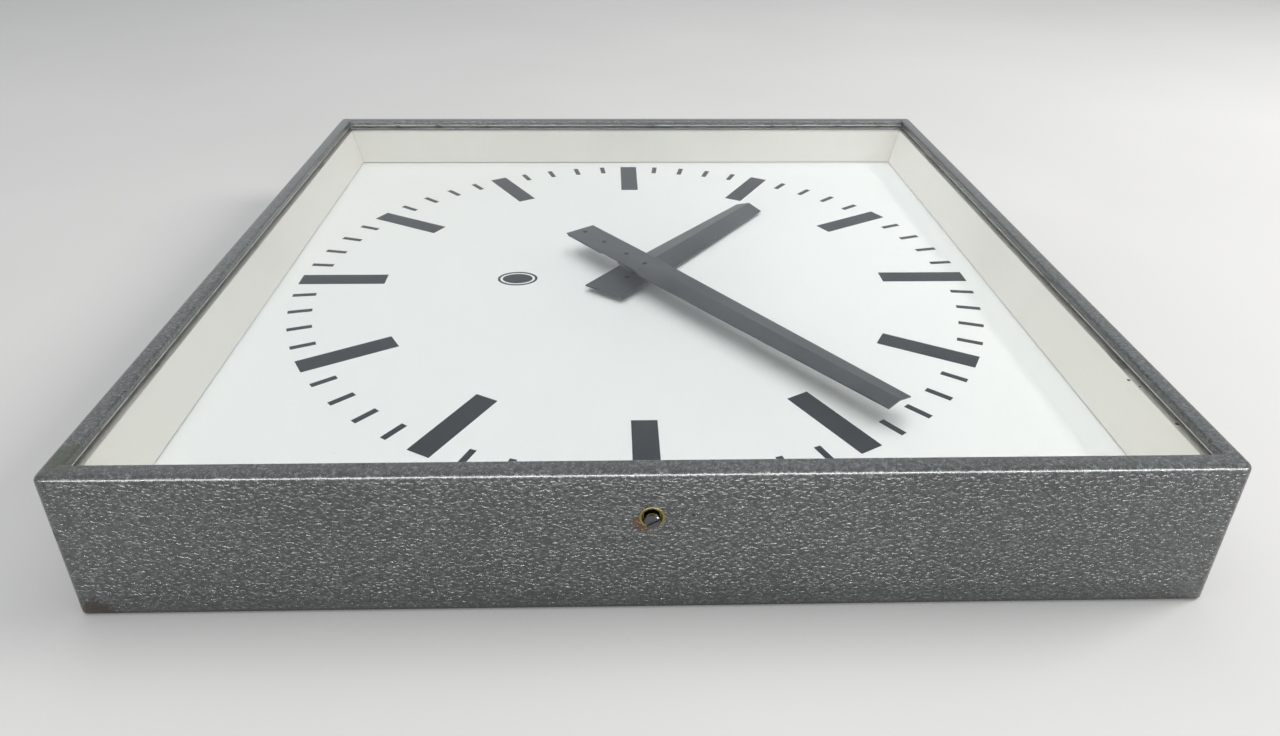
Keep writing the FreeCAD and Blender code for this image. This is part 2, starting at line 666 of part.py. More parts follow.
def make_plates():
    """The two movement plates, drilled for pillars, posts, bushes and the stud."""
    pillar_holes = [("small_hole", x, y) for x, y in four_corners("pillar_across", "pillar_up")]
    post_holes = [("small_hole", x, y) for x, y in four_corners("post_across", "post_up")]
    bush_holes = [(radius, across, "0") for radius, across, bore in arbor_places()]
    stator_holes = [("small_shank", "stator_screw_across", side)
                    for side in ("stator_screw_up", "-stator_screw_up")]
    stud_hole = [("stud_radius", "motion_centres", "0")]
    for label, low, holes in (
        ("back_plate", "back_plate_low", pillar_holes + post_holes + bush_holes + stator_holes),
        ("front_plate", "front_plate_low", pillar_holes + bush_holes + stud_hole),
    ):
        body = new_body(label)
        sides = ("-plate_half_long", "plate_half_long", "-plate_half_wide", "plate_half_wide")
        plate(body, low, "plate_thick", rectangle, *sides)
        drill(body, holes)
        keep(body)


def make_bushes():
    """Brass bushes for the three arbors, one in each plate."""
    shapes = []
    for number, (radius, across, bore) in enumerate(arbor_places()):
        for level, low in (("back", "back_plate_low"), ("front", "front_plate_low")):
            body = new_body(f"bush_{level}_{number}_master")
            bored_ring(body, radius, bore, f"{low} - bush_proud", f"{low} + plate_thick + bush_proud")
            place(body, across)
            shapes.append(body)
    doc.recompute()
    feature = doc.addObject("Part::Feature", "arbor_bushes")
    feature.Shape = Part.makeCompound([body.Shape for body in shapes])
    feature.Label = "arbor_bushes"
    keep(feature)


def make_stud():
    """Fixed stud for the minute wheel and the clip that keeps the wheel on it."""
    stud = new_body("minute_wheel_stud")
    turned(stud, [("0", "front_plate_low"), ("stud_radius", "front_plate_low"),
                  ("stud_radius", "stud_top"), ("0", "stud_top")])
    place(stud, "motion_centres")
    keep(stud)
    clip = new_body("stud_clip")
    top = "stud_top - clip_drop"
    bored_ring(clip, "stud_radius + clip_width", "stud_radius", f"{top} - clip_thick", top)
    place(clip, "motion_centres")
    keep(clip)


# ---------------------------------------------------------------- wheels and arbors

def teeth_on(body, module, teeth, low, thick):
    """A toothed rim: a root disc, one tooth, and a polar pattern of it."""
    root = f"{module} * ({teeth} / 2 - dedendum)"
    tip = f"{module} * ({teeth} / 2 + addendum)"
    pitch = f"{module} * {teeth} / 2"
    plate(body, low, thick, circle, root)
    sketch = sketch_on(body, "XY_Plane", low)
    outline(sketch, [
        (f"{root} - tooth_seat * {module}", f"-{module} * tooth_root_half"),
        (f"{root}", f"-{module} * tooth_root_half"),
        (pitch, f"-{module} * tooth_pitch_half"),
        (tip, f"-{module} * tooth_tip_half"),
        (tip, f"{module} * tooth_tip_half"),
        (pitch, f"{module} * tooth_pitch_half"),
        (f"{root}", f"{module} * tooth_root_half"),
        (f"{root} - tooth_seat * {module}", f"{module} * tooth_root_half"),
    ])
    tooth = pad(body, sketch, thick)
    pattern = body.newObject("PartDesign::PolarPattern", body.Label + "_teeth")
    pattern.Originals = [tooth]
    pattern.Axis = (sketch, ["N_Axis"])
    pattern.Angle = 360
    pattern.Occurrences = int(value(teeth))
    body.Tip = pattern
    return pattern


def make_wheel(label, module, teeth, low, thick, hub, bore, across="0", turn=0.0):
    """A wheel: toothed rim, optional hub of (radius, low, height) and a bore."""
    body = new_body(label)
    teeth_on(body, module, teeth, low, thick)
    if hub:
        radius, hub_low, hub_height = hub
        plate(body, hub_low, hub_height, circle, radius)
    drill(body, [(bore, "0", "0")])
    place(body, across, "0", "0", turn)
    return keep(body)


def make_arbor(label, radius, low, high):
    body = new_body(label)
    turned(body, [("0", low), (radius, low), (radius, high), ("0", high)])
    return body


def make_centre():
    """Centre arbor and wheel, and the cannon pinion that carries the minute hand."""
    keep(make_arbor("centre_arbor", "centre_arbor_radius", "back_plate_low - centre_pivot", "arbor_top"))
    make_wheel("centre_wheel", "train_module", "centre_teeth", "centre_wheel_low", "wheel_thick",
               ("bush_large", "centre_wheel_low - centre_hub_below", "centre_hub_height"),
               "centre_arbor_radius")
    cannon = new_body("cannon_pinion")
    teeth_on(cannon, "motion_module", "cannon_teeth", "cannon_low", "cannon_leaf_height")
    plate(cannon, "cannon_low", "cannon_top - cannon_low", circle, "cannon_pipe")
    drill(cannon, [("centre_arbor_radius", "0", "0")])
    keep(cannon)


def make_motion_work():
    """Minute wheel with its pinion on the stud, and the hour wheel with its pipe."""
    half_tooth = 180 / value("minute_teeth")
    make_wheel("minute_wheel", "motion_module", "minute_teeth", "minute_wheel_low", "wheel_thick",
               None, "stud_seat", "motion_centres", 180 + half_tooth)
    pinion = new_body("minute_wheel_pinion")
    teeth_on(pinion, "hour_module", "minute_pinion_teeth", "minute_wheel_top", "minute_pinion_height")
    plate(pinion, "minute_wheel_low", "wheel_thick", circle, "stud_seat")
    drill(pinion, [("stud_bore", "0", "0")])
    place(pinion, "motion_centres", "0", "0", 180)
    keep(pinion)
    make_wheel("hour_wheel", "hour_module", "hour_teeth", "hour_wheel_low", "wheel_thick",
               None, "hour_pipe_radius", "0", 180 / value("hour_teeth"))
    pipe = new_body("hour_pipe")
    turned(pipe, [
        ("hour_bore", "hour_wheel_low - pipe_flange_thick"),
        ("hour_pipe_radius + pipe_flange", "hour_wheel_low - pipe_flange_thick"),
        ("hour_pipe_radius + pipe_flange", "hour_wheel_low"),
        ("hour_pipe_radius", "hour_wheel_low"),
        ("hour_pipe_radius", "hour_pipe_top"),
        ("hour_bore", "hour_pipe_top"),
    ])
    keep(pipe)


def make_train():
    """Intermediate arbor and rotor arbor with their pinions, wheel and magnet."""
    arbor = make_arbor("intermediate_arbor", "inter_arbor_radius",
                       "back_plate_low - inter_pivot_back", "front_plate_top + inter_pivot_front")
    teeth_on(arbor, "train_module", "inter_pinion_teeth", "centre_wheel_low - pinion_below",
             "pinion_length")
    place(arbor, "-centre_to_inter", "0", "0", 180 / value("inter_pinion_teeth"))
    keep(arbor)
    make_wheel("intermediate_wheel", "train_module", "inter_teeth", "inter_wheel_low", "wheel_thick",
               ("bush_small", "inter_wheel_low - inter_hub_below", "inter_hub_height"),
               "inter_arbor_radius", "-centre_to_inter")
    arbor = make_arbor("rotor_arbor", "rotor_arbor_radius",
                       "back_plate_low - rotor_pivot_back", "front_plate_top + rotor_pivot_front")
    teeth_on(arbor, "train_module", "rotor_teeth", "inter_wheel_low - pinion_below", "pinion_length")
    place(arbor, "rotor_across", "0", "0", 180 / value("rotor_teeth"))
    keep(arbor)
    magnet = new_body("rotor_magnet")
    bored_ring(magnet, "magnet_radius", "rotor_arbor_radius", "magnet_low", "magnet_low + magnet_height")
    place(magnet, "rotor_across")
    keep(magnet)


# ---------------------------------------------------------------- stator and coil

def make_pole_pieces():
    """Two mirrored pole pieces, each a shoe around the rotor and an arm to the coil core."""
    for label, side in (("upper_pole_piece", ""), ("lower_pole_piece", "-")):
        body = new_body(label)
        sketch = sketch_on(body, "XY_Plane", "pole_low")
        left = "rotor_across - pole_shoe_half"
        right = "rotor_across + pole_shoe_half"
        outline(sketch, [
            (left, f"{side}pole_shoe_gap"),
            (right, f"{side}pole_shoe_gap"),
            (right, f"{side}pole_inner"),
            ("core_near", f"{side}pole_inner"),
            ("core_near", f"{side}pole_outer"),
            (left, f"{side}pole_outer"),
        ])
        pad(body, sketch, "pole_thick")
        drill(body, [("pole_bore", "rotor_across", "0"),
                     ("small_hole", "stator_screw_across", f"{side}stator_screw_up")])
        keep(body)


def make_coil():
    """Coil core bar, bobbin and winding."""
    core = new_body("coil_core")
    plate(core, "pole_low", "pole_thick", rectangle, "core_near", "core_far", "-pole_outer", "pole_outer")
    keep(core)
    inner = "pole_inner - bobbin_wall"
    bobbin = new_body("coil_bobbin")
    turned(bobbin, [
        ("0", "-(pole_inner)"), ("bobbin_flange", "-(pole_inner)"),
        ("bobbin_flange", f"-({inner})"), ("bobbin_tube", f"-({inner})"),
        ("bobbin_tube", inner), ("bobbin_flange", inner),
        ("bobbin_flange", "pole_inner"), ("0", "pole_inner"),
    ])
    hole = sketch_on(bobbin, "XY_Plane")
    square(hole, "bobbin_hole_half")
    cut_through(bobbin, hole)
    place(bobbin, "core_middle", "0", "core_height", 90, (1, 0, 0))
    keep(bobbin)
    winding = new_body("coil_winding")
    bored_ring(winding, "coil_radius", "bobbin_tube", f"-({inner})", inner)
    place(winding, "core_middle", "0", "core_height", 90, (1, 0, 0))
    keep(winding)


def make_stator_fixings():
    """Spacers under the pole pieces and the two screws that hold them."""
    spacer = new_body("stator_spacer_master")
    bored_ring(spacer, "pillar_radius", "small_hole", "back_plate_top", "pole_low")
    across = value("stator_screw_across")
    up = value("stator_screw_up")
    spots = [(across, up), (across, -up)]
    group("stator_spacers", spacer, [(x, y, 0, 0) for x, y in spots])
    master = screw_master("stator_screw_master", "pole_low + pole_thick - back_plate_low")
    group("stator_screws", master, slotted(spots, value("pole_low + pole_thick")))


def make_terminals():
    """Terminal block with two clamp screws, on the floor of the rear box."""
    block = new_body("terminal_block")
    far = "terminal_across + terminal_wide"
    half = "terminal_long / 2"
    plate(block, "rear_sheet", "terminal_high", rectangle, "terminal_across", far, f"-{half}", half)
    middle = "terminal_across + terminal_wide / 2"
    drill(block, [("small_shank", middle, side) for side in ("terminal_screw_up", "-terminal_screw_up")])
    keep(block)
    master = screw_master("terminal_screw_master", "screw_depth")
    across = value(middle)
    up = value("terminal_screw_up")
    group("terminal_screws", master, slotted([(across, up), (across, -up)], value("terminal_top")))


def make_lead_wires():
    """Two insulated wires that climb from the terminal block to the coil's flanges."""
    wires = []
    bend = value("wire_bend")
    start = value("terminal_across")
    rise = value("core_far + bobbin_flange + wire_gap")
    low = value("rear_sheet + wire_entry")
    high = value("core_height")
    flange_edge = value("core_middle + bobbin_flange")
    for side in (-1, 1):
        y = side * value("pole_inner - bobbin_wall / 2")
        route = ((start, low), (rise, low), (rise, high), (flange_edge, high))
        points = [Vector(x, y, z) for x, z in route]
        wires.append(bent_wire(points, bend, value("wire_radius")))
    feature = doc.addObject("Part::Feature", "lead_wires")
    feature.Shape = Part.makeCompound(wires)
    feature.Label = "lead_wires"
    keep(feature)


def bent_wire(points, bend, radius):
    """A round wire along straight runs joined by tangent arcs of one bend radius."""
    edges = []
    here = points[0]
    for index in range(1, len(points) - 1):
        corner = points[index]
        back = (points[index - 1] - corner).normalize()
        ahead = (points[index + 1] - corner).normalize()
        half_turn = back.getAngle(ahead) / 2
        reach = bend / math.tan(half_turn)
        first = corner + back * reach
        last = corner + ahead * reach
        centre = corner + (back + ahead).normalize() * (bend / math.sin(half_turn))
        middle = centre + (corner - centre).normalize() * bend
        edges.append(Part.LineSegment(here, first).toShape())
        edges.append(Part.Arc(first, middle, last).toShape())
        here = last
    edges.append(Part.LineSegment(here, points[-1]).toShape())
    path = Part.Wire(edges)
    direction = (points[1] - points[0]).normalize()
    section = Part.Wire(Part.Circle(points[0], direction, radius).toShape())
    return path.makePipeShell([section], True, False)


# ---------------------------------------------------------------- hands

def hand_section(body, at, half, ridge, edge):
    """Cross-section of a folded hand: six points, ridge in the middle."""
    sketch = sketch_on(body, "YZ_Plane", at)
    outline(sketch, [
        (f"-({half})", f"{edge} - hand_sheet"),
        ("0", f"{ridge} - hand_sheet"),
        (half, f"{edge} - hand_sheet"),
        (half, edge),
        ("0", ridge),
        (f"-({half})", edge),
    ])
    sketch.Visibility = False
    return sketch


def make_hand(label, name, clockwise, low):
    """A pressed hand: flat tail, then a blade folded along its middle."""
    body = new_body(label)
    flat = ("hand_sheet", "hand_sheet")
    sections = [
        hand_section(body, f"-{name}_tail", f"{name}_tail_half", *flat),
        hand_section(body, "blade_start", f"{name}_tail_half", *flat),
        hand_section(body, "blade_full", f"{name}_root_half", f"{name}_ridge", f"{name}_edge"),
        hand_section(body, f"{name}_length", f"{name}_tip_half", f"{name}_ridge", f"{name}_edge"),
    ]
    loft = body.newObject("PartDesign::AdditiveLoft", label + "_loft")
    loft.Profile = sections[0]
    loft.Sections = sections[1:]
    loft.Ruled = True
    place(body, "0", "0", low, 90 - clockwise)
    return body


def along_hand(distance, clockwise):
    turn = math.radians(90 - clockwise)
    return distance * math.cos(turn), distance * math.sin(turn)


def rivets(label, low, high, distances, clockwise):
    """Rivets through a hand and the piece beneath it, with low round heads."""
    master = new_body(label + "_master")
    turned(master, [("0", low), ("rivet_radius", low), ("rivet_radius", high), ("rivet_head", high),
                    ("rivet_head", f"{high} + rivet_proud"), ("0", f"{high} + rivet_proud")])
    spots = []
    for distance in distances:
        across, up = along_hand(distance, clockwise)
        spots.append((across, up, 0, 0))
    group(label, master, spots)


def rivet_holes(body, distances):
    drill(body, [("rivet_radius", distance, "0") for distance in distances])


def make_hub(label, neck_low, flange_top, bore):
    """Turned hub of a hand: a neck on the pipe and a flange under the hand."""
    body = new_body(label)
    turned(body, [
        (bore, neck_low),
        ("hub_neck", neck_low),
        ("hub_neck", f"{flange_top} - hub_thick"),
        ("hub_flange", f"{flange_top} - hub_thick"),
        ("hub_flange", flange_top),
        (bore, flange_top),
    ])
    return body


def make_hour_hand():
    clockwise = value("hour_angle")
    hand = make_hand("hour_hand", "hour", clockwise, "hour_low")
    drill(hand, [("hour_pipe_radius", "0", "0"), ("rivet_radius", "rivet_place", "0"),
                 ("rivet_radius", "-rivet_place", "0")])
    keep(hand)
    hub = make_hub("hour_hand_hub", "dial_front + hour_hub_gap", "hour_low", "hour_pipe_radius")
    rivet_holes(hub, ("rivet_place", "-rivet_place"))
    place(hub, "0", "0", "0", 90 - clockwise)
    keep(hub)
    near = value("rivet_place")
    rivets("hour_hand_rivets", "hour_low - hub_thick", "hour_low + hand_sheet", (near, -near), clockwise)


def make_minute_hand():
    clockwise = value("minute_angle")
    hand = make_hand("minute_hand", "minute", clockwise, "minute_low")
    centre_rivets = ("rivet_place", "-rivet_place")
    weight_rivets = ("-weight_rivet_near", "-weight_rivet_far")
    rivet_holes(hand, centre_rivets + weight_rivets)
    keep(hand)
    hub = make_hub("minute_hand_hub", "hour_pipe_top + minute_hub_gap", "minute_low", "cannon_pipe")
    rivet_holes(hub, centre_rivets)
    place(hub, "0", "0", "0", 90 - clockwise)
    keep(hub)
    weight = new_body("counterweight")
    sides = ("-minute_tail + weight_short", "-weight_end", "-weight_half", "weight_half")
    plate(weight, "-weight_thick", "weight_thick", rectangle, *sides)
    rivet_holes(weight, weight_rivets)
    place(weight, "0", "0", "minute_low", 90 - clockwise)
    keep(weight)
    top = "minute_low + hand_sheet"
    near = value("rivet_place")
    rivets("hub_rivets", "minute_low - hub_thick", top, (near, -near), clockwise)
    distances = (-value("weight_rivet_near"), -value("weight_rivet_far"))
    rivets("counterweight_rivets", "minute_low - weight_thick", top, distances, clockwise)


# ---------------------------------------------------------------- front cover, glass and reveal

def make_cover():
    """Folded steel cover: four skirt walls, a flat rim and a return fold round the glass."""
    body = new_body("front_cover")
    sketch = sketch_on(body, "XY_Plane", "skirt_bottom")
    square(sketch, "case_half")
    block = pad(body, sketch, "case_depth - skirt_bottom")
    doc.recompute()
    upright = edges_where(block, is_upright)
    fillet = body.newObject("PartDesign::Fillet", "cover_corners")
    fillet.Base = (block, upright)
    bind(fillet, "Radius", "corner_round")
    doc.recompute()
    top = edges_where(fillet, lambda edge: is_level(edge, value("case_depth")))
    front = body.newObject("PartDesign::Fillet", "cover_front_edge")
    front.Base = (fillet, top)
    bind(front, "Radius", "edge_round")
    doc.recompute()
    hollow = sketch_on(body, "XY_Plane", "skirt_bottom")
    square(hollow, "skirt_inner")
    cut_up(body, hollow, "case_depth - skirt_bottom - cover_sheet")
    fold = sketch_on(body, "XY_Plane", "return_low")
    square(fold, "return_outer")
    pad(body, fold, "rim_return")
    window = sketch_on(body, "XY_Plane")
    square(window, "rim_inner")
    pocket = cut_through(body, window)
    doc.recompute()
    inner = edges_where(pocket, lambda edge: is_level(edge, value("case_depth"))
                        and spread(edge) < value("rim_inner") + 0.01)
    rounded = body.newObject("PartDesign::Fillet", "cover_inner_fold")
    rounded.Base = (pocket, inner)
    bind(rounded, "Radius", "fold_round")
    doc.recompute()
    hole = sketch_on(body, "XZ_Plane", "case_half - 2 * cover_sheet")
    circle(hole, "lock_hole", "0", "lock_height")
    cut_up(body, hole, "4 * cover_sheet")
    return keep(body)


def edges_where(feature, test):
    edges = feature.Shape.Edges
    return [f"Edge{number}" for number, edge in enumerate(edges, start=1) if test(edge)]


def is_upright(edge):
    start, end = edge.Vertexes[0].Point, edge.Vertexes[-1].Point
    return abs(start.x - end.x) < 0.01 and abs(start.y - end.y) < 0.01


def is_level(edge, height):
    box = edge.BoundBox
    return abs(box.ZMin - height) < 0.01 and abs(box.ZMax - height) < 0.01


def spread(edge):
    box = edge.BoundBox
    return max(abs(box.XMin), abs(box.XMax), abs(box.YMin), abs(box.YMax))


def make_glass():
    glass = new_body("glass_pane")
    plate(glass, "glass_back", "glass_thick", square, "glass_half")
    keep(glass)
    seal = new_body("glass_seal")
    sketch = sketch_on(seal, "XY_Plane", "glass_front")
    square(sketch, "rim_inner + seal_width")
    square(sketch, "rim_inner + seal_inset")
    pad(seal, sketch, "seal_thick")
    keep(seal)


def make_reveal_strips():
    """Four painted strips that slope from the glass to the dial, mitred at the corners."""
    slope = "(reveal_top_half - reveal_dial_half) / (glass_back - reveal_low)"
    outer_low = "reveal_dial_half + reveal_sheet"
    outer_top = f"reveal_top_half + reveal_sheet - reveal_sheet * {slope}"
    near = "(reveal_dial_half - cut_margin)"
    far = "(glass_half + cut_margin)"
    for quarter, label in enumerate(("right_reveal", "upper_reveal", "left_reveal", "lower_reveal")):
        body = new_body(label)
        profile = sketch_on(body, "XZ_Plane")
        outline(profile, [
            ("reveal_dial_half", "reveal_low"),
            (outer_low, "reveal_low"),
            (outer_top, "tab_top"),
            ("glass_half", "tab_top"),
            ("glass_half", "glass_back"),
            ("reveal_top_half", "glass_back"),
        ])
        pad(body, profile, "2 * glass_half", True)
        ends = sketch_on(body, "XY_Plane")
        for side in ("", "-"):
            outline(ends, [
                (near, f"{side}({near} - mitre_gap)"),
                (far, f"{side}({far} - mitre_gap)"),
                (far, f"{side}({far} + cut_margin)"),
                (near, f"{side}({far} + cut_margin)"),
            ])
        cut_through(body, ends)
        drill(body, [("small_shank + running_fit", "reveal_screw_half", side)
                     for side in ("bracket_place", "-bracket_place")])
        place(body, "0", "0", "0", 90 * quarter)
        keep(body)


def side_spots(outward, turn_offset=0):
    """Eight places, two on each side, at a distance out from the middle."""
    spots = []
    for quarter in range(4):
        turn = math.radians(90 * quarter)
        for along in (-value("bracket_place"), value("bracket_place")):
            across = outward * math.cos(turn) - along * math.sin(turn)
            up = outward * math.sin(turn) + along * math.cos(turn)
            spots.append((across, up, 90 * quarter + turn_offset))
    return spots


def make_glass_brackets():
    """Small welded brackets inside the skirt, and the screws that pull the reveal on to them."""
    master = new_body("bracket_master")
    half = "bracket_width / 2"
    sides = (f"-{half}", half)
    plate(master, "tab_top - bracket_height", "bracket_height", rectangle, "-cover_sheet", "0", *sides)
    plate(master, "tab_top - cover_sheet", "cover_sheet", rectangle, "-bracket_reach", "0", *sides)
    drill(master, [("small_hole", "reveal_screw_half - skirt_inner", "0")])
    spots = [(x, y, 0, turn) for x, y, turn in side_spots(value("skirt_inner"))]
    group("glass_brackets", master, spots)
    screw = screw_master("reveal_screw_upright", "cover_sheet + reveal_sheet - reveal_screw_short")
    low = value("tab_top - cover_sheet")
    spots = [(x, y, low, turn) for x, y, turn in side_spots(value("reveal_screw_half"), SLOT_TURN)]
    group("reveal_screws", flipped("reveal_screw_master", screw), spots)


# ---------------------------------------------------------------- lock

def lock_place(body):
    """Lay a turned piece along Y, so that its local +Z points out of the near side."""
    place(body, "0", "0", "lock_height", 90, (1, 0, 0))


def make_lock():
    """Ferrule in the cover, slotted screw through it, and the square nut behind the tongue."""
    ferrule = new_body("lock_ferrule")
    face = "case_half + ferrule_proud"
    rear = f"{face} - ferrule_length"
    shoulder = "skirt_inner - cover_sheet"
    turned(ferrule, [
        ("lock_bore", rear),
        ("lock_hole - ferrule_step", rear),
        ("lock_hole - ferrule_step", shoulder),
        ("ferrule_shoulder", shoulder),
        ("ferrule_shoulder", "skirt_inner"),
        ("lock_hole", "skirt_inner"),
        ("lock_hole", face),
        ("ferrule_cup", face),
        ("ferrule_cup", "cup_floor"),
        ("lock_bore", "cup_floor"),
    ])
    lock_place(ferrule)
    keep(ferrule)
    screw = new_body("lock_screw")
    tip = "case_half + lock_head_proud"
    turned(screw, [
        ("0", "lock_end"),
        ("lock_shank - lock_point", "lock_end"),
        ("lock_shank", "lock_end + lock_point"),
        ("lock_shank", "cup_floor"),
        ("lock_head", "cup_floor"),
        ("lock_head", f"{tip} - lock_bevel"),
        ("lock_head - lock_bevel", tip),
        ("0", tip),
    ])
    slot = sketch_on(screw, "XY_Plane", f"{tip} - lock_slot")
    rectangle(slot, "-lock_head", "lock_head", "-lock_slot / 2", "lock_slot / 2")
    cut_up(screw, slot, "lock_slot + cut_margin")
    outward = Rotation(Vector(1, 0, 0), 90)
    screw.Placement = Placement(Vector(0, 0, 0), outward * Rotation(Vector(0, 0, 1), LOCK_SLOT_TURN))
    bind(screw, "Placement.Base.z", "lock_height")
    keep(screw)
    nut = new_body("lock_nut")
    front = "tongue_back - nut_gap"
    plate(nut, f"{front} - nut_thick", "nut_thick", square, "nut_half")
    drill(nut, [("lock_bore", "0", "0")])
    lock_place(nut)
    keep(nut)


# ---------------------------------------------------------------- build, check and write

def main():
    make_rear_box()
    make_grommet()
    make_dial()
    make_marks()
    make_emblem()
    make_dial_screws()
    make_posts()
    make_pillars()
    make_plates()
    make_bushes()
    make_stud()
    make_centre()
    make_motion_work()
    make_train()
    make_pole_pieces()
    make_coil()
    make_stator_fixings()
    make_terminals()
    make_lead_wires()
    make_hour_hand()
    make_minute_hand()
    make_cover()
    make_glass()
    make_reveal_strips()
    make_glass_brackets()
    make_lock()
    doc.recompute()
    failed = [item.Label for item in doc.Objects if {"Invalid", "Error"} & set(item.State)]
    if failed:
        raise RuntimeError("objects that did not compute: " + ", ".join(failed))
    for item in SUB_PARTS:
        if item.Shape.isNull() or not item.Shape.isValid() or not item.Shape.Solids:
            raise RuntimeError("bad shape: " + item.Label)
    os.makedirs("parts", exist_ok=True)
    for item in SUB_PARTS:
        item.Shape.exportStep(os.path.join("parts", item.Label + ".step"))
        print(f"{item.Label:22s} solids {len(item.Shape.Solids):2d} volume {item.Shape.Volume:12.1f}")


main()
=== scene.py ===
import json
import math

import bmesh
import bpy
from mathutils import Matrix, Vector


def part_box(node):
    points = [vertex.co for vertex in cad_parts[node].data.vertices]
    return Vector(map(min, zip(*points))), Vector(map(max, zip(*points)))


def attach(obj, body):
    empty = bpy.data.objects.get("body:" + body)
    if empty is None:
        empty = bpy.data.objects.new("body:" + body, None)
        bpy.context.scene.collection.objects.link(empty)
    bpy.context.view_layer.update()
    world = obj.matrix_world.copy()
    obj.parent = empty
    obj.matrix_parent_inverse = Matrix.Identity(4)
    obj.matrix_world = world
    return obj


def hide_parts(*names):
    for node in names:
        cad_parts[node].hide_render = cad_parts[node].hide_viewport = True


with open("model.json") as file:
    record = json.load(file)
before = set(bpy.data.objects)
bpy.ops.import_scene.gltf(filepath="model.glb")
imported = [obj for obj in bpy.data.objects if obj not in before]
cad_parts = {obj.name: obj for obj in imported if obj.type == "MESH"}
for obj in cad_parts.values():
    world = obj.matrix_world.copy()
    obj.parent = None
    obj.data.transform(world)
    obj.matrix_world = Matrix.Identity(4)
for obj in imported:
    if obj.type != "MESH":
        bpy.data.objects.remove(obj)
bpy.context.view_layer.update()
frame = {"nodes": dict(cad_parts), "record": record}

# A square slave wall clock, lying on its back: X runs right, Y towards twelve and Z up. Lengths are in
# metres unless a comment says otherwise.
MM = 0.001
CASE_LOW, CASE_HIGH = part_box("front_cover")
GLASS_LOW, GLASS_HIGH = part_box("glass_pane")
LOCK_LOW, LOCK_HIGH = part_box("lock_ferrule")
HALF = CASE_HIGH.x
FRONT = CASE_HIGH.z
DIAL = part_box("dial_plate")[1].z
LOCK_HEIGHT = (LOCK_LOW.z + LOCK_HIGH.z) / 2

# Blemishes of the cover: a ragged ball round a point, and how far and how finely it is ragged.
CHIP = {"centre": (-HALF + 7 * MM, -HALF, 0.0), "radius": 11 * MM, "uneven": 0.6, "scale": 330.0}
NICK = {"centre": (-HALF, -HALF, 45 * MM), "radius": 3.5 * MM, "uneven": 0.6, "scale": 600.0}
LOCK_STAIN = {"centre": (-3.2 * MM, -HALF, LOCK_HEIGHT - 2.8 * MM), "radius": 5.2 * MM,
              "uneven": 0.35, "scale": 420.0}
MOSS = {"centre": (-HALF + 9.5 * MM, -HALF + 13 * MM, FRONT - 3 * MM), "radius": 12 * MM,
        "uneven": 0.4, "scale": 250.0}

# Marks on the glass: across, up and radius, in millimetres.
GLASS_MARKS = ((235.0, -175.0, 0.9), (237.5, -181.0, 0.7), (238.5, -212.0, 1.0))

# Scratches in the wall with the lock: start and end as (across, up), and width, in millimetres.
SCRATCHES = (
    ((-18.5, 45.2), (-12.0, 44.6), 0.16),
    ((-10.5, 44.2), (-6.0, 43.6), 0.10),
    ((-7.0, 43.5), (5.2, 41.5), 0.15),
    ((-60.0, 33.0), (-57.5, 31.0), 0.10),
    ((96.0, 22.0), (99.0, 24.5), 0.09),
)


# ---------------------------------------------------------------- shader graph helpers

# The colour inputs and output of Blender's Mix node have these numbers.
MIX_FIRST, MIX_SECOND, MIX_RESULT = 6, 7, 2


def new_material(name):
    """An empty material and its node tree."""
    material = bpy.data.materials.new(name)
    material.use_nodes = True
    material.node_tree.nodes.clear()
    return material, material.node_tree


def feed(tree, socket, source):
    """Fill a node's input with a link, a colour without its alpha, or a plain value."""
    if isinstance(source, bpy.types.NodeSocket):
        tree.links.new(source, socket)
    elif socket.type == "RGBA":
        socket.default_value = (*source, 1.0)
    else:
        socket.default_value = source


def node(tree, kind, inputs=None, **settings):
    """Add a node, set its settings and feed its inputs."""
    made = tree.nodes.new(kind)
    for name, setting in settings.items():
        setattr(made, name, setting)
    for key, source in (inputs or {}).items():
        feed(tree, made.inputs[key], source)
    return made


def place_of(tree):
    """The place on the piece, in metres."""
    return node(tree, "ShaderNodeTexCoord").outputs["Object"]


def noise(tree, place, scale, detail=2.0, roughness=0.5, output="Fac"):
    """Cloudy noise, with the scale in clouds to the metre."""
    made = node(tree, "ShaderNodeTexNoise",
                {"Vector": place, "Scale": scale, "Detail": detail, "Roughness": roughness})
    return made.outputs[output]


def math_node(tree, operation, first, second=0.0, clamp=False):
    """One sum with numbers or links."""
    made = node(tree, "ShaderNodeMath", {0: first, 1: second}, operation=operation, use_clamp=clamp)
    return made.outputs[0]


def vector_node(tree, operation, first, second, output="Vector"):
    """One sum with vectors."""
    return node(tree, "ShaderNodeVectorMath", {0: first, 1: second}, operation=operation).outputs[output]


def ramp(tree, factor, low, high, start=0.0, end=1.0):
    """Map a factor from low..high to start..end, held at both ends."""
    made = node(tree, "ShaderNodeMapRange",
                {"Value": factor, "From Min": low, "From Max": high, "To Min": start, "To Max": end})
    return made.outputs["Result"]


def mix(tree, factor, first, second):
    """Go from the first colour to the second as the factor goes from 0 to 1."""
    made = node(tree, "ShaderNodeMix", {0: factor}, data_type="RGBA")
    feed(tree, made.inputs[MIX_FIRST], first)
    feed(tree, made.inputs[MIX_SECOND], second)
    return made.outputs[MIX_RESULT]


def shaken(tree, place, scale, amount):
    """Push a place about by noise, so that cells and lines come out uneven."""
    cloud = noise(tree, place, scale, output="Color")
    centred = vector_node(tree, "SUBTRACT", cloud, (0.5, 0.5, 0.5))
    return vector_node(tree, "ADD", place, vector_node(tree, "MULTIPLY", centred, (amount,) * 3))


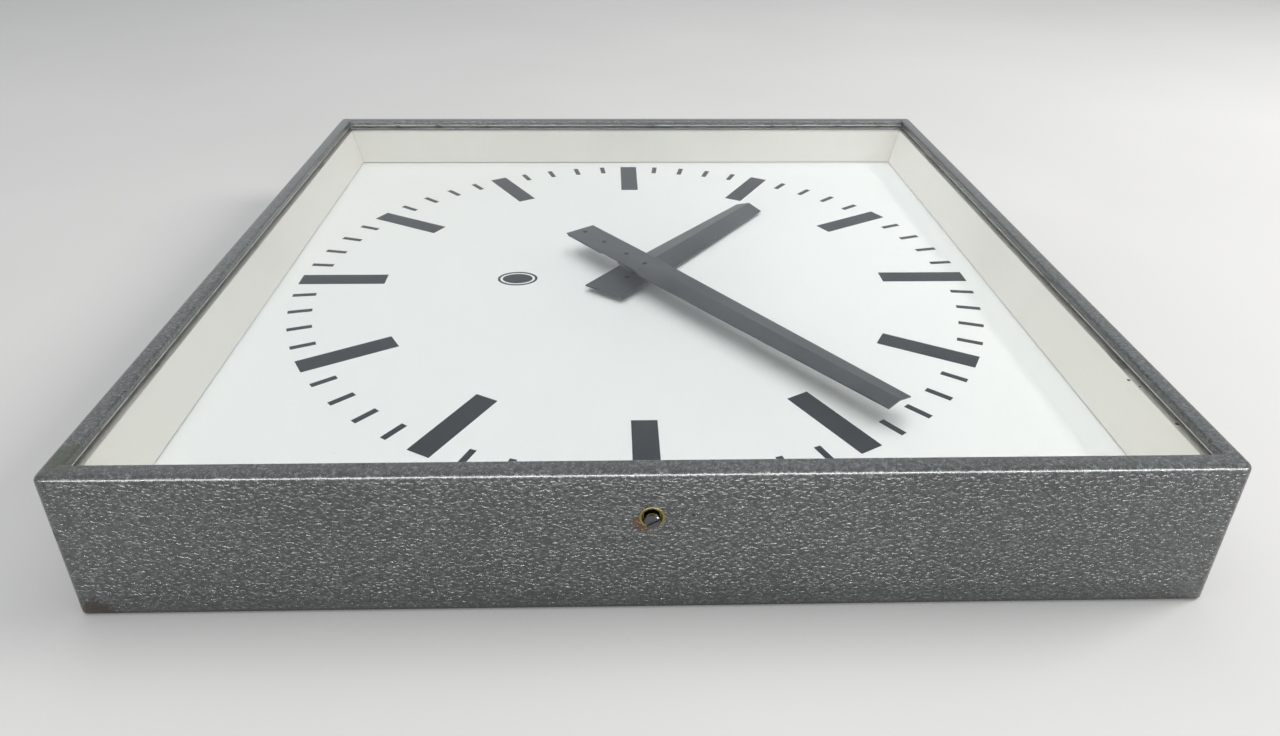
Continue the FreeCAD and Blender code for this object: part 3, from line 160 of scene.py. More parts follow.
def near_point(tree, place, centre, radius, uneven, scale):
    """1 inside a ragged ball round a point, 0 outside it."""
    distance = vector_node(tree, "DISTANCE", place, centre, "Value")
    ragged = math_node(tree, "MULTIPLY", noise(tree, place, scale, detail=4), radius * 2 * uneven)
    reach = math_node(tree, "ADD", distance, ragged)
    return ramp(tree, reach, radius * (0.75 + uneven), radius * (1.0 + uneven), start=1.0, end=0.0)


def specks(tree, place, spacing, size, share):
    """1 on small scattered spots, in a given share of cells of that spacing."""
    cells = node(tree, "ShaderNodeTexVoronoi", {"Vector": place, "Scale": 1.0 / spacing})
    lot = node(tree, "ShaderNodeSeparateColor", {0: cells.outputs["Color"]}).outputs[0]
    chosen = math_node(tree, "LESS_THAN", lot, share)
    reach = size / spacing
    spot = ramp(tree, cells.outputs["Distance"], reach * 0.6, reach, start=1.0, end=0.0)
    return math_node(tree, "MULTIPLY", chosen, spot)


def finish_material(tree, color, roughness, height, strength, depth, settings=None):
    """Close the graph with a Principled shader, a bump and any settings by the name of their input."""
    bump = node(tree, "ShaderNodeBump", {"Height": height, "Strength": strength, "Distance": depth})
    inputs = {"Base Color": color, "Roughness": roughness, "Normal": bump.outputs[0]}
    inputs.update(settings or {})
    shader = node(tree, "ShaderNodeBsdfPrincipled", inputs)
    node(tree, "ShaderNodeOutputMaterial", {"Surface": shader.outputs[0]})


# ---------------------------------------------------------------- materials

def hammer_relief(tree, place):
    """The enamel's small domes, and the worm-like flow between them."""
    uneven = shaken(tree, place, scale=420.0, amount=3 * MM)
    pushed = vector_node(tree, "MULTIPLY", uneven, (0.72, 0.72, 1.15))
    cells = node(tree, "ShaderNodeTexVoronoi", {"Vector": pushed, "Scale": 620.0, "Smoothness": 0.7},
                 feature="SMOOTH_F1")
    dome = ramp(tree, cells.outputs["Distance"], 0.10, 0.62, start=1.0, end=0.0)
    return dome, noise(tree, pushed, 820.0)


def hammer_color(tree, place, dome, worm):
    """Grey with painted shade in the hollows, a painted highlight on the raised worms, a slight drift and
    bright flakes.
    """
    dark_grey = (0.062, 0.064, 0.062)
    light_grey = (0.078, 0.083, 0.082)
    # Painted shade: the hollows between the domes are darkened.
    valley_shade = (0.036, 0.038, 0.037)
    # Painted highlight: the raised worms are paler.
    worm_highlight = (0.22, 0.232, 0.228)
    bright_flake = (0.40, 0.42, 0.42)
    broad = noise(tree, place, 11.0, detail=3)
    flake = noise(tree, place, 1900.0)
    color = mix(tree, ramp(tree, broad, 0.35, 0.65), dark_grey, light_grey)
    color = mix(tree, ramp(tree, dome, 0.45, 0.0, end=0.65), color, valley_shade)
    color = mix(tree, ramp(tree, worm, 0.54, 0.68, end=0.45), color, worm_highlight)
    return mix(tree, ramp(tree, flake, 0.60, 0.75, end=0.5), color, bright_flake)


def hammertone():
    """Grey hammer enamel with pits, darker along the bottom hem, a chip, a nick, a stain by the lock and some
    moss.
    """
    pit_black = (0.010, 0.010, 0.010)
    hem_dark = (0.035, 0.034, 0.032)
    worn_iron = (0.022, 0.014, 0.010)
    rust_brown = (0.085, 0.030, 0.006)
    moss_green = (0.045, 0.055, 0.030)
    material, tree = new_material("hammertone_enamel")
    place = place_of(tree)
    level = node(tree, "ShaderNodeSeparateXYZ", {0: place}).outputs["Z"]
    dome, worm = hammer_relief(tree, place)
    pits = specks(tree, place, spacing=17 * MM, size=0.8 * MM, share=0.2)
    # Darker towards the bottom edge, over the lowest 3 mm of the cover.
    hem = ramp(tree, level, 1.6 * MM, 3.0 * MM, start=0.8, end=0.0)
    worn = math_node(tree, "MAXIMUM", near_point(tree, place, **CHIP), near_point(tree, place, **NICK))
    stain = math_node(tree, "MULTIPLY", near_point(tree, place, **LOCK_STAIN), 0.8)
    moss = math_node(tree, "MULTIPLY", near_point(tree, place, **MOSS), 0.7)
    color = hammer_color(tree, place, dome, worm)
    for share, over in ((pits, pit_black), (hem, hem_dark), (worn, worn_iron), (stain, rust_brown),
                        (moss, moss_green)):
        color = mix(tree, share, color, over)
    rough = math_node(tree, "ADD", ramp(tree, worm, 0.3, 0.7, start=0.27, end=0.40),
                      math_node(tree, "MULTIPLY", worn, 0.4), clamp=True)
    height = math_node(tree, "ADD", dome, math_node(tree, "MULTIPLY", worm, 0.6))
    height = math_node(tree, "SUBTRACT", height, math_node(tree, "MULTIPLY", pits, 1.5))
    height = math_node(tree, "SUBTRACT", height, worn)
    smooth_fold = ramp(tree, level, FRONT - 4.5 * MM, FRONT - 2.8 * MM, start=1.0, end=0.22)
    height = math_node(tree, "MULTIPLY", height, smooth_fold)
    finish_material(tree, color, rough, height, strength=0.72, depth=0.6 * MM,
                    settings={"Metallic": 0.55, "Coat Weight": 0.6, "Coat Roughness": 0.12})
    return material


def bare_edge():
    """Worn bright metal along the lower edge of the rim's fold, and in the scratches."""
    material, tree = new_material("bare_edge")
    wear = noise(tree, place_of(tree), 180.0, detail=4)
    color = mix(tree, ramp(tree, wear, 0.55, 0.68), (0.78, 0.78, 0.76), (0.25, 0.25, 0.25))
    finish_material(tree, color, 0.28, wear, strength=0.1, depth=0.1 * MM, settings={"Metallic": 1.0})
    return material


def satin_paint(name, color, dirt, rough, dirt_share):
    """Sprayed satin paint with faint orange peel, soft stains and a few specks."""
    material, tree = new_material(name)
    place = place_of(tree)
    peel = noise(tree, place, 700.0)
    stain = noise(tree, place, 9.0, detail=5, roughness=0.6)
    tone = mix(tree, ramp(tree, stain, 0.5, 0.75, end=dirt_share), color, dirt)
    dust = specks(tree, place, spacing=22 * MM, size=0.5 * MM, share=0.2)
    tone = mix(tree, math_node(tree, "MULTIPLY", dust, 0.6), tone, dirt)
    gloss = ramp(tree, stain, 0.3, 0.7, start=rough - 0.05, end=rough + 0.08)
    finish_material(tree, tone, gloss, peel, strength=0.12, depth=0.08 * MM)
    return material


def dial_white():
    """Cool white dial enamel, a little yellowed towards the far left, with fine dust."""
    cool_white = (0.90, 0.925, 0.915)
    stained_white = (0.89, 0.905, 0.88)
    yellowed = (0.88, 0.88, 0.82)
    dust_grey = (0.25, 0.25, 0.24)
    material, tree = new_material("dial_white")
    place = place_of(tree)
    stain = noise(tree, place, 6.0, detail=4, roughness=0.6)
    tone = mix(tree, ramp(tree, stain, 0.45, 0.75, end=0.5), cool_white, stained_white)
    from_corner = vector_node(tree, "DISTANCE", place, (-HALF, HALF, DIAL), "Value")
    tone = mix(tree, ramp(tree, from_corner, 20 * MM, 300 * MM, start=0.5, end=0.0), tone, yellowed)
    dust = specks(tree, place, spacing=30 * MM, size=0.4 * MM, share=0.25)
    tone = mix(tree, math_node(tree, "MULTIPLY", dust, 0.7), tone, dust_grey)
    gloss = ramp(tree, stain, 0.3, 0.7, start=0.38, end=0.48)
    finish_material(tree, tone, gloss, noise(tree, place, 500.0), strength=0.08, depth=0.06 * MM)
    return material


def dark_print():
    """Slate printing ink, slightly mottled, with pinholes."""
    material, tree = new_material("dark_print")
    place = place_of(tree)
    mottle = noise(tree, place, 160.0, detail=4)
    tone = mix(tree, ramp(tree, mottle, 0.35, 0.7), (0.020, 0.026, 0.033), (0.030, 0.037, 0.046))
    holes = specks(tree, place, spacing=11 * MM, size=0.35 * MM, share=0.12)
    tone = mix(tree, holes, tone, (0.45, 0.46, 0.45))
    gloss = ramp(tree, mottle, 0.3, 0.7, start=0.5, end=0.62)
    finish_material(tree, tone, gloss, mottle, strength=0.1, depth=0.05 * MM,
                    settings={"Specular IOR Level": 0.2})
    return material


def hand_enamel():
    """Dark blue-grey hand paint with orange peel and dust."""
    material, tree = new_material("hand_enamel")
    place = place_of(tree)
    peel = noise(tree, place, 420.0, detail=3)
    cloud = noise(tree, place, 40.0, detail=4)
    tone = mix(tree, ramp(tree, cloud, 0.35, 0.7), (0.026, 0.034, 0.042), (0.040, 0.050, 0.060))
    dust = specks(tree, place, spacing=6 * MM, size=0.35 * MM, share=0.25)
    tone = mix(tree, math_node(tree, "MULTIPLY", dust, 0.55), tone, (0.35, 0.36, 0.35))
    gloss = ramp(tree, cloud, 0.3, 0.7, start=0.30, end=0.42)
    finish_material(tree, tone, gloss, peel, strength=0.16, depth=0.1 * MM)
    return material


def rivet_painted_shade():
    """Hand paint made near black on the rivet heads: painted shade for the shadow in their grooves."""
    material, tree = new_material("rivet_painted_shade")
    shade_mottle = noise(tree, place_of(tree), 900.0, detail=3)
    # Painted shade: near-black tones stand in for the shadow round each rivet.
    tone = mix(tree, shade_mottle, (0.004, 0.005, 0.007), (0.012, 0.015, 0.019))
    gloss = ramp(tree, shade_mottle, 0.3, 0.7, start=0.5, end=0.65)
    finish_material(tree, tone, gloss, shade_mottle, strength=0.15, depth=0.08 * MM,
                    settings={"Specular IOR Level": 0.12})
    return material


def metal(name, color, rough=0.3, brush=(1.0, 1.0, 1.0), grain=600.0, dull=None):
    """Machined or plated metal: fine tool marks, stretched by the brush, and slight tarnish."""
    material, tree = new_material(name)
    place = place_of(tree)
    marks = noise(tree, vector_node(tree, "MULTIPLY", place, brush), grain, detail=3)
    age = noise(tree, place, 70.0, detail=4)
    tarnish = dull or tuple(0.6 * part for part in color)
    tone = mix(tree, ramp(tree, age, 0.4, 0.75, end=0.8), color, tarnish)
    gloss = ramp(tree, marks, 0.3, 0.7, start=rough - 0.08, end=rough + 0.12)
    finish_material(tree, tone, gloss, marks, strength=0.12, depth=0.06 * MM, settings={"Metallic": 1.0})
    return material


def plastic(name, color, rough):
    """Moulded plastic or rubber with a fine skin and cloudy colour."""
    material, tree = new_material(name)
    place = place_of(tree)
    skin = noise(tree, place, 900.0)
    cloud = noise(tree, place, 50.0, detail=3)
    shade = tuple(0.75 * part for part in color)
    tone = mix(tree, ramp(tree, cloud, 0.4, 0.7, end=0.6), color, shade)
    gloss = ramp(tree, cloud, 0.3, 0.7, start=rough - 0.05, end=rough + 0.1)
    finish_material(tree, tone, gloss, skin, strength=0.12, depth=0.08 * MM)
    return material


def striped(name, color, groove, pitch, axis, metallic=0.8, rough=0.35):
    """Turns of wire or stacked laminations: even ridges along one axis, with painted shade in the grooves
    between them.
    """
    material, tree = new_material(name)
    bent = shaken(tree, place_of(tree), scale=90.0, amount=pitch * 0.6)
    along = node(tree, "ShaderNodeSeparateXYZ", {0: bent}).outputs[axis]
    wave = math_node(tree, "SINE", math_node(tree, "MULTIPLY", along, 2 * math.pi / pitch))
    # Painted shade: the grooves between the turns and laminations are darkened.
    tone = mix(tree, ramp(tree, wave, -1.0, 0.2), groove, color)
    finish_material(tree, tone, rough, wave, strength=0.5, depth=pitch * 0.25,
                    settings={"Metallic": metallic})
    return material


def felt_strip():
    """Dull black felt, which lies between the glass and the rim's fold."""
    material, tree = new_material("felt_strip")
    fibre = noise(tree, place_of(tree), 1500.0, detail=4, roughness=0.7)
    tone = mix(tree, fibre, (0.012, 0.012, 0.012), (0.05, 0.05, 0.048))
    finish_material(tree, tone, 0.9, fibre, strength=0.5, depth=0.2 * MM, settings={"Sheen Weight": 0.3})
    return material


def pane_front():
    """Polished glass face: clear, with a reflection that grows at grazing angles, dust and marks."""
    material, tree = new_material("pane_front")
    place = place_of(tree)
    clear = node(tree, "ShaderNodeBsdfTransparent", {"Color": (0.985, 0.985, 0.982)})
    gloss = node(tree, "ShaderNodeBsdfGlossy", {"Color": (1.0, 1.0, 1.0), "Roughness": 0.015})
    share = node(tree, "ShaderNodeFresnel", {"IOR": 1.42}).outputs[0]
    pane = node(tree, "ShaderNodeMixShader", {0: share, 1: clear.outputs[0], 2: gloss.outputs[0]})
    film = node(tree, "ShaderNodeBsdfDiffuse", {"Color": (0.75, 0.76, 0.74)})
    wiped = vector_node(tree, "MULTIPLY", place, (6.0, 2.0, 1.0))
    smear = noise(tree, wiped, 8.0, detail=5, roughness=0.65)
    dots = specks(tree, place, spacing=20 * MM, size=0.45 * MM, share=0.25)
    veil = math_node(tree, "ADD", ramp(tree, smear, 0.5, 0.85, end=0.02),
                     math_node(tree, "MULTIPLY", dots, 0.5), clamp=True)
    whole = node(tree, "ShaderNodeMixShader", {0: veil, 1: pane.outputs[0], 2: film.outputs[0]})
    soot = node(tree, "ShaderNodeBsdfDiffuse", {"Color": (0.03, 0.03, 0.03)})
    for across, up, radius in GLASS_MARKS:
        spot = near_point(tree, place, (across * MM, up * MM, GLASS_HIGH.z), radius * MM,
                          uneven=0.1, scale=900.0)
        whole = node(tree, "ShaderNodeMixShader", {0: spot, 1: whole.outputs[0], 2: soot.outputs[0]})
    node(tree, "ShaderNodeOutputMaterial", {"Surface": whole.outputs[0]})
    return material


def pane_back():
    """The rear face of the pane, already counted in the front face's reflection."""
    material, tree = new_material("pane_back")
    clear = node(tree, "ShaderNodeBsdfTransparent", {"Color": (0.99, 0.99, 0.988)})
    node(tree, "ShaderNodeOutputMaterial", {"Surface": clear.outputs[0]})
    return material


def pale_floor():
    """Pale matt floor with faint clouds."""
    material, tree = new_material("pale_floor")
    place = place_of(tree)
    cloud = noise(tree, place, 3.0, detail=4)
    tone = mix(tree, cloud, (0.37, 0.366, 0.358), (0.42, 0.416, 0.408))
    finish_material(tree, tone, 0.7, noise(tree, place, 300.0, detail=3), strength=0.05, depth=0.2 * MM,
                    settings={"Specular IOR Level": 0.1})
    return material


# ---------------------------------------------------------------- mesh helpers

# The signs of X and Y in the four quarters, counter-clockwise.
QUARTERS = ((1, 1), (-1, 1), (-1, -1), (1, -1))


def mesh_from(name, work):
    """Turn a work mesh into a Blender mesh, and let the work go."""
    mesh = bpy.data.meshes.new(name)
    work.to_mesh(mesh)
    work.free()
    return mesh


def mesh_object(name, mesh, materials):
    """Put a mesh in the scene, with its materials."""
    piece = bpy.data.objects.new(name, mesh)
    bpy.context.scene.collection.objects.link(piece)
    for material in materials:
        mesh.materials.append(material)
    return piece


def shade_by_angle(piece, angle):
    """Smooth faces, with hard edges where two faces meet at more than the angle."""
    work = bmesh.new()
    work.from_mesh(piece.data)
    for face in work.faces:
        face.smooth = True
    for edge in work.edges:
        edge.smooth = len(edge.link_faces) == 2 and edge.calc_face_angle(0.0) < math.radians(angle)
    work.to_mesh(piece.data)
    work.free()


def from_work(name, work, materials, smooth_angle):
    """Make a piece of a work mesh, facing outwards and smoothed up to the angle."""
    bmesh.ops.recalc_face_normals(work, faces=work.faces)
    piece = mesh_object(name, mesh_from(name, work), materials)
    shade_by_angle(piece, smooth_angle)
    return piece


def corner_point(quarter, half, radius, turn):
    """The point at an angle on the rounded corner of a square, in a given quarter."""
    across, up = QUARTERS[quarter % 4]
    inner = half - radius
    return Vector((across * inner + radius * math.cos(turn), up * inner + radius * math.sin(turn)))


def rounded_square(half, radius, per_corner, per_side):
    """Points of a square with rounded corners, counter-clockwise, with extra points along the sides."""
    points = []
    for quarter in range(4):
        base = math.pi / 2 * quarter
        for step in range(per_corner + 1):
            points.append(corner_point(quarter, half, radius, base + math.pi / 2 * step / per_corner))
        start = points[-1]
        end = corner_point(quarter + 1, half, radius, base + math.pi / 2)
        for step in range(1, per_side):
            points.append(start.lerp(end, step / per_side))
    return points


def arc(centre, radius, start, end, steps):
    """Points of an arc, in degrees, both ends included."""
    points = []
    for step in range(steps + 1):
        turn = math.radians(start + (end - start) * step / steps)
        points.append((centre[0] + radius * math.cos(turn), centre[1] + radius * math.sin(turn)))
    return points


def square_ring(work, half, radius, height, per_corner, per_side):
    """Add a rounded square of points at a height."""
    return [work.verts.new((point.x, point.y, height))
            for point in rounded_square(half, radius, per_corner, per_side)]


def bridge(work, low, high):
    """Add the faces between two rings of points, where a ring of one point closes the form."""
    count = max(len(low), len(high))
    if count == 1:
        return []
    faces = []
    for step in range(count):
        following = (step + 1) % count
        if len(low) == 1:
            corners = (low[0], high[following], high[step])
        elif len(high) == 1:
            corners = (low[step], low[following], high[0])
        else:
            corners = (low[step], low[following], high[following], high[step])
        faces.append(work.faces.new(corners))
    return faces


def lathe(name, profile, material, steps):
    """Revolve a closed run of (radius, height) points about Z; points on the axis close the form."""
    on_axis = 1e-7
    smooth_angle = 40.0
    work = bmesh.new()
    rings = []
    for radius, height in profile:
        if radius < on_axis:
            rings.append([work.verts.new((0, 0, height))])
            continue
        ring = []
        for step in range(steps):
            turn = 2 * math.pi * step / steps
            ring.append(work.verts.new((radius * math.cos(turn), radius * math.sin(turn), height)))
        rings.append(ring)
    for low, high in zip(rings, rings[1:] + rings[:1]):
        bridge(work, low, high)
    return from_work(name, work, (material,), smooth_angle)


def moved(piece, matrix):
    """Move a piece by moving its mesh, so that its object stays at the origin."""
    piece.data.transform(matrix)
    return piece


def joined(name, pieces):
    """Join pieces of one material into a new piece."""
    work = bmesh.new()
    for piece in pieces:
        work.from_mesh(piece.data)
    materials = list(pieces[0].data.materials)
    for piece in pieces:
        bpy.data.objects.remove(piece)
    return mesh_object(name, mesh_from(name, work), materials)


def cut_hole(piece, radius, centre, axis, depth):
    """Cut a round hole with a boolean, and keep the result in the mesh."""
    work = bmesh.new()
    turn = Vector((0, 0, 1)).rotation_difference(Vector(axis)).to_matrix().to_4x4()
    bmesh.ops.create_cone(work, cap_ends=True, segments=64, radius1=radius, radius2=radius, depth=depth,
                          matrix=Matrix.Translation(centre) @ turn)
    cutter = mesh_object("cutter", mesh_from("cutter", work), ())
    modifier = piece.modifiers.new("hole", "BOOLEAN")
    modifier.operation = "DIFFERENCE"
    modifier.solver = "EXACT"
    modifier.object = cutter
    bpy.context.view_layer.update()
    result = bpy.data.meshes.new_from_object(piece.evaluated_get(bpy.context.evaluated_depsgraph_get()))
    piece.modifiers.clear()
    old = piece.data
    piece.data = result
    result.name = piece.name
    bpy.data.meshes.remove(old)
    bpy.data.objects.remove(cutter)


# ---------------------------------------------------------------- cover and glass

def cover_profile():
    """The sheet's section as (inward, height) points, and the run of them along the bare lower edge."""
    sheet = 1.2 * MM
    edge = 2.8 * MM
    fold = 1.1 * MM
    fold_depth = 4.5 * MM
    opening_half = 240.7 * MM
    lip = 0.35 * MM
    hem = 0.2 * MM
    nip = 0.1 * MM
    inner_bend = 0.6 * MM
    low = CASE_LOW.z
    back = FRONT - fold_depth
    rim = HALF - opening_half
    inner_rim = rim - sheet
    inner_front = FRONT - sheet
    profile = [(0.0, low + lip)]
    profile += [(0.0, low + (FRONT - edge - low) * step / 6) for step in range(1, 6)]
    profile += [(edge - x, y) for x, y in arc((0, FRONT - edge), edge, 0, 90, 8)]
    profile += [(rim * 0.55, FRONT)]
    profile += [(rim - fold + x, y) for x, y in arc((0, FRONT - fold), fold, 90, 0, 5)]
    bare_from = len(profile)
    profile += [(rim, back + 0.5 * MM), (rim, back + nip), (rim - nip, back)]
    profile += [(inner_rim + nip, back), (inner_rim, back + nip)]
    bare_to = len(profile) - 1
    profile += [(inner_rim, inner_front - inner_bend), (inner_rim - inner_bend, inner_front)]
    profile += [(edge, inner_front)]
    profile += [(edge - x, y) for x, y in arc((0, FRONT - edge), edge - sheet, 90, 0, 5)][1:]
    profile += [(sheet, low + lip), (sheet - hem, low), (hem, low)]
    return profile, range(bare_from, bare_to)


def make_cover_shell(enamel, bare):
    """The pressed cover: skirt, rounded front edge, flat rim and return fold."""
    corner = 4.0 * MM
    sharpest = 0.8 * MM
    profile, bare_run = cover_profile()
    work = bmesh.new()
    rings = [square_ring(work, HALF - inward, max(corner - inward, sharpest), height,
                         per_corner=6, per_side=50)
             for inward, height in profile]
    for index, (first, second) in enumerate(zip(rings, rings[1:] + rings[:1])):
        for face in bridge(work, first, second):
            face.material_index = 1 if index in bare_run else 0
    return from_work("cover_shell", work, (enamel, bare), smooth_angle=50.0)


def wavy(piece, reach):
    """Bend the cover's outer walls inwards by up to the reach, because a pressed wall is never quite flat."""
    wall = HALF - 2 * MM
    for vertex in piece.data.vertices:
        point = vertex.co
        along_x = math.sin(point.x * 23.0 + 1.3) * math.sin(point.z * 50.0 + point.y * 9.0)
        along_y = math.sin(point.y * 21.0 - 0.7) * math.sin(point.z * 47.0 + point.x * 8.0)
        outer_x = abs(point.x) > wall
        outer_y = abs(point.y) > wall
        if outer_y and not outer_x:
            vertex.co.y -= math.copysign(reach * (0.5 + 0.5 * along_x), point.y)
        if outer_x and not outer_y:
            vertex.co.x -= math.copysign(reach * (0.5 + 0.5 * along_y), point.x)


def add_cover(enamel):
    """The cover, a little uneven, with the hole for the lock."""
    hole_radius = 5.62 * MM
    hole_depth = 8 * MM
    cover = make_cover_shell(enamel, bare_edge())
    wavy(cover, reach=0.12 * MM)
    cut_hole(cover, hole_radius, Vector((0, -HALF, LOCK_HEIGHT)), (0, 1, 0), hole_depth)
    shade_by_angle(cover, angle=50.0)
    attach(cover, "cover")
    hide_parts("front_cover")


def add_glass(front, back):
    """The pane with ground edges, and its own face materials front and back."""
    low, high = GLASS_LOW, GLASS_HIGH
    bevel = 0.4 * MM
    corner = 2.0 * MM
    work = bmesh.new()
    rings = [square_ring(work, high.x - inward, corner, height, per_corner=4, per_side=1)
             for inward, height in ((bevel, low.z), (0.0, low.z + bevel), (0.0, high.z - bevel),
                                    (bevel, high.z))]
    for first, second in zip(rings, rings[1:]):
        bridge(work, first, second)
    bottom = work.faces.new(list(reversed(rings[0])))
    bottom.material_index = 1
    work.faces.new(rings[-1])
    glass = from_work("glass_sheet", work, (front, back), smooth_angle=20.0)
    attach(glass, "cover")
    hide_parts("glass_pane")


def add_ferrule(brass):
    """The lock's rolled ferrule, with a flange behind the wall and a rounded mouth."""
    length = LOCK_HIGH.y - LOCK_LOW.y
    outer = 5.6 * MM
    sleeve = outer - 0.6 * MM
    flange = 7 * MM
    cup = 4.3 * MM
    bore = 3.05 * MM
    roll = 0.35 * MM
    cup_floor = length - 2.4 * MM
    shoulder = length - 2.7 * MM
    flange_back = shoulder - 0.4 * MM
    flange_front = shoulder + 0.8 * MM
    profile = [(bore, 0), (sleeve, 0), (sleeve, flange_back), (flange, flange_back)]
    profile += [(flange, flange_front), (outer, flange_front)]
    profile += [(outer - roll + x, length - roll + y) for x, y in arc((0, 0), roll, 0, 90, 4)]
    profile += [(cup + roll + x, length - roll + y) for x, y in arc((0, 0), roll, 90, 180, 4)]
    profile += [(cup, cup_floor), (bore, cup_floor)]
    ferrule = lathe("ferrule_ring", profile, brass, steps=64)
    turn = Matrix.Rotation(math.radians(90), 4, "X")
    moved(ferrule, Matrix.Translation((0, LOCK_HIGH.y, LOCK_HEIGHT)) @ turn)
    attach(ferrule, "cover")
    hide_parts("lock_ferrule")


def make_scratch(start, end, width, material):
    """One thin ridge of bare metal between two places on the wall, tapered at both ends."""
    wall = -HALF - 0.01 * MM
    out = Vector((0, -0.03 * MM, 0))
    steps = 7
    blunt = 0.04
    first = Vector((start[0] * MM, wall, start[1] * MM))
    last = Vector((end[0] * MM, wall, end[1] * MM))
    along = (last - first).normalized()
    side = Vector((-along.z, 0, along.x)) * width * MM / 2
    work = bmesh.new()
    rows = []
    for step in range(steps + 1):
        share = step / steps
        swell = math.sin(math.pi * min(max(share, blunt), 1.0 - blunt)) ** 0.5
        middle = first.lerp(last, share)
        rows.append([work.verts.new(middle + reach * swell) for reach in (side, out, -side)])
    for row, following in zip(rows, rows[1:]):
        bridge(work, row, following)
    work.faces.new(rows[0])
    work.faces.new(list(reversed(rows[-1])))
    return from_work("scratch", work, (material,), smooth_angle=60.0)


def add_scratches(bare):
    """Fine scratches through the paint of the wall with the lock, three of them just below it."""
    strokes = [make_scratch(start, end, width, bare) for start, end, width in SCRATCHES]
    scratches = joined("paint_scratches", strokes)
    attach(scratches, "cover")


# ---------------------------------------------------------------- hands and rivets

def make_hand(name, body, paint):
    """A pressed sheet hand with softened outer edges and a crisp fold, on the CAD outline."""
    weld = 0.005 * MM
    bevel = 0.16 * MM
    shortest_edge = 2.0 * MM
    sharpest_flat = math.radians(40)
    work = bmesh.new()
    work.from_mesh(frame["nodes"][name].data)
    bmesh.ops.remove_doubles(work, verts=work.verts, dist=weld)
    bmesh.ops.dissolve_limit(work, angle_limit=math.radians(1.0), verts=work.verts, edges=work.edges)
    outer = [edge for edge in work.edges
             if len(edge.link_faces) == 2 and edge.calc_length() > shortest_edge
             and edge.calc_face_angle(0.0) > sharpest_flat]
    bmesh.ops.bevel(work, geom=outer, offset=bevel, segments=2, profile=0.5, affect="EDGES",
                    clamp_overlap=False)
    piece = from_work(name + "_sheet", work, (paint,), smooth_angle=9.0)
    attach(piece, body)
    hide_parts(name)


def islands(name):
    """The separate solids of a CAD node, as (low, high) corners."""
    weld = 1e-6
    work = bmesh.new()
    work.from_mesh(frame["nodes"][name].data)
    bmesh.ops.remove_doubles(work, verts=work.verts, dist=weld)
    waiting = set(work.verts)
    boxes = []
    while waiting:
        group = [waiting.pop()]
        for vertex in group:
            for edge in vertex.link_edges:
                other = edge.other_vert(vertex)
                if other in waiting:
                    waiting.remove(other)
                    group.append(other)
        low = Vector([min(vertex.co[axis] for vertex in group) for axis in range(3)])
        high = Vector([max(vertex.co[axis] for vertex in group) for axis in range(3)])
        boxes.append((low, high))
    work.free()
    return sorted(boxes, key=lambda box: (round(box[0].x, 5), round(box[0].y, 5)))


def rivet_profile(radius, low, high):
    """A shank, and a low domed head with a groove and a dished middle."""
    shank = radius * 1.2 / 1.7
    head = high - 0.25 * MM
    profile = [(0, low), (shank, low), (shank, head), (radius * 0.96, head), (radius, head + 0.08 * MM)]
    profile += [(radius * (0.97 - 0.1 * step), head + (0.14 + 0.055 * step) * MM) for step in range(3)]
    profile += [(radius * 0.62, high), (radius * 0.52, high - 0.03 * MM)]
    profile += [(radius * 0.40, high - 0.22 * MM), (radius * 0.2, high - 0.30 * MM), (0, high - 0.32 * MM)]
    return profile


def make_rivets(name, paint, body):
    """A detailed rivet in place of each plain one of a CAD node."""
    pieces = []
    for low, high in islands(name):
        centre = (low + high) / 2
        rivet = lathe("rivet", rivet_profile((high.x - low.x) / 2, low.z, high.z), paint, steps=32)
        pieces.append(moved(rivet, Matrix.Translation((centre.x, centre.y, 0))))
    rivets = joined(name + "_heads", pieces)
    shade_by_angle(rivets, angle=40.0)
    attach(rivets, body)
    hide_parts(name)


# ---------------------------------------------------------------- dressing the frame

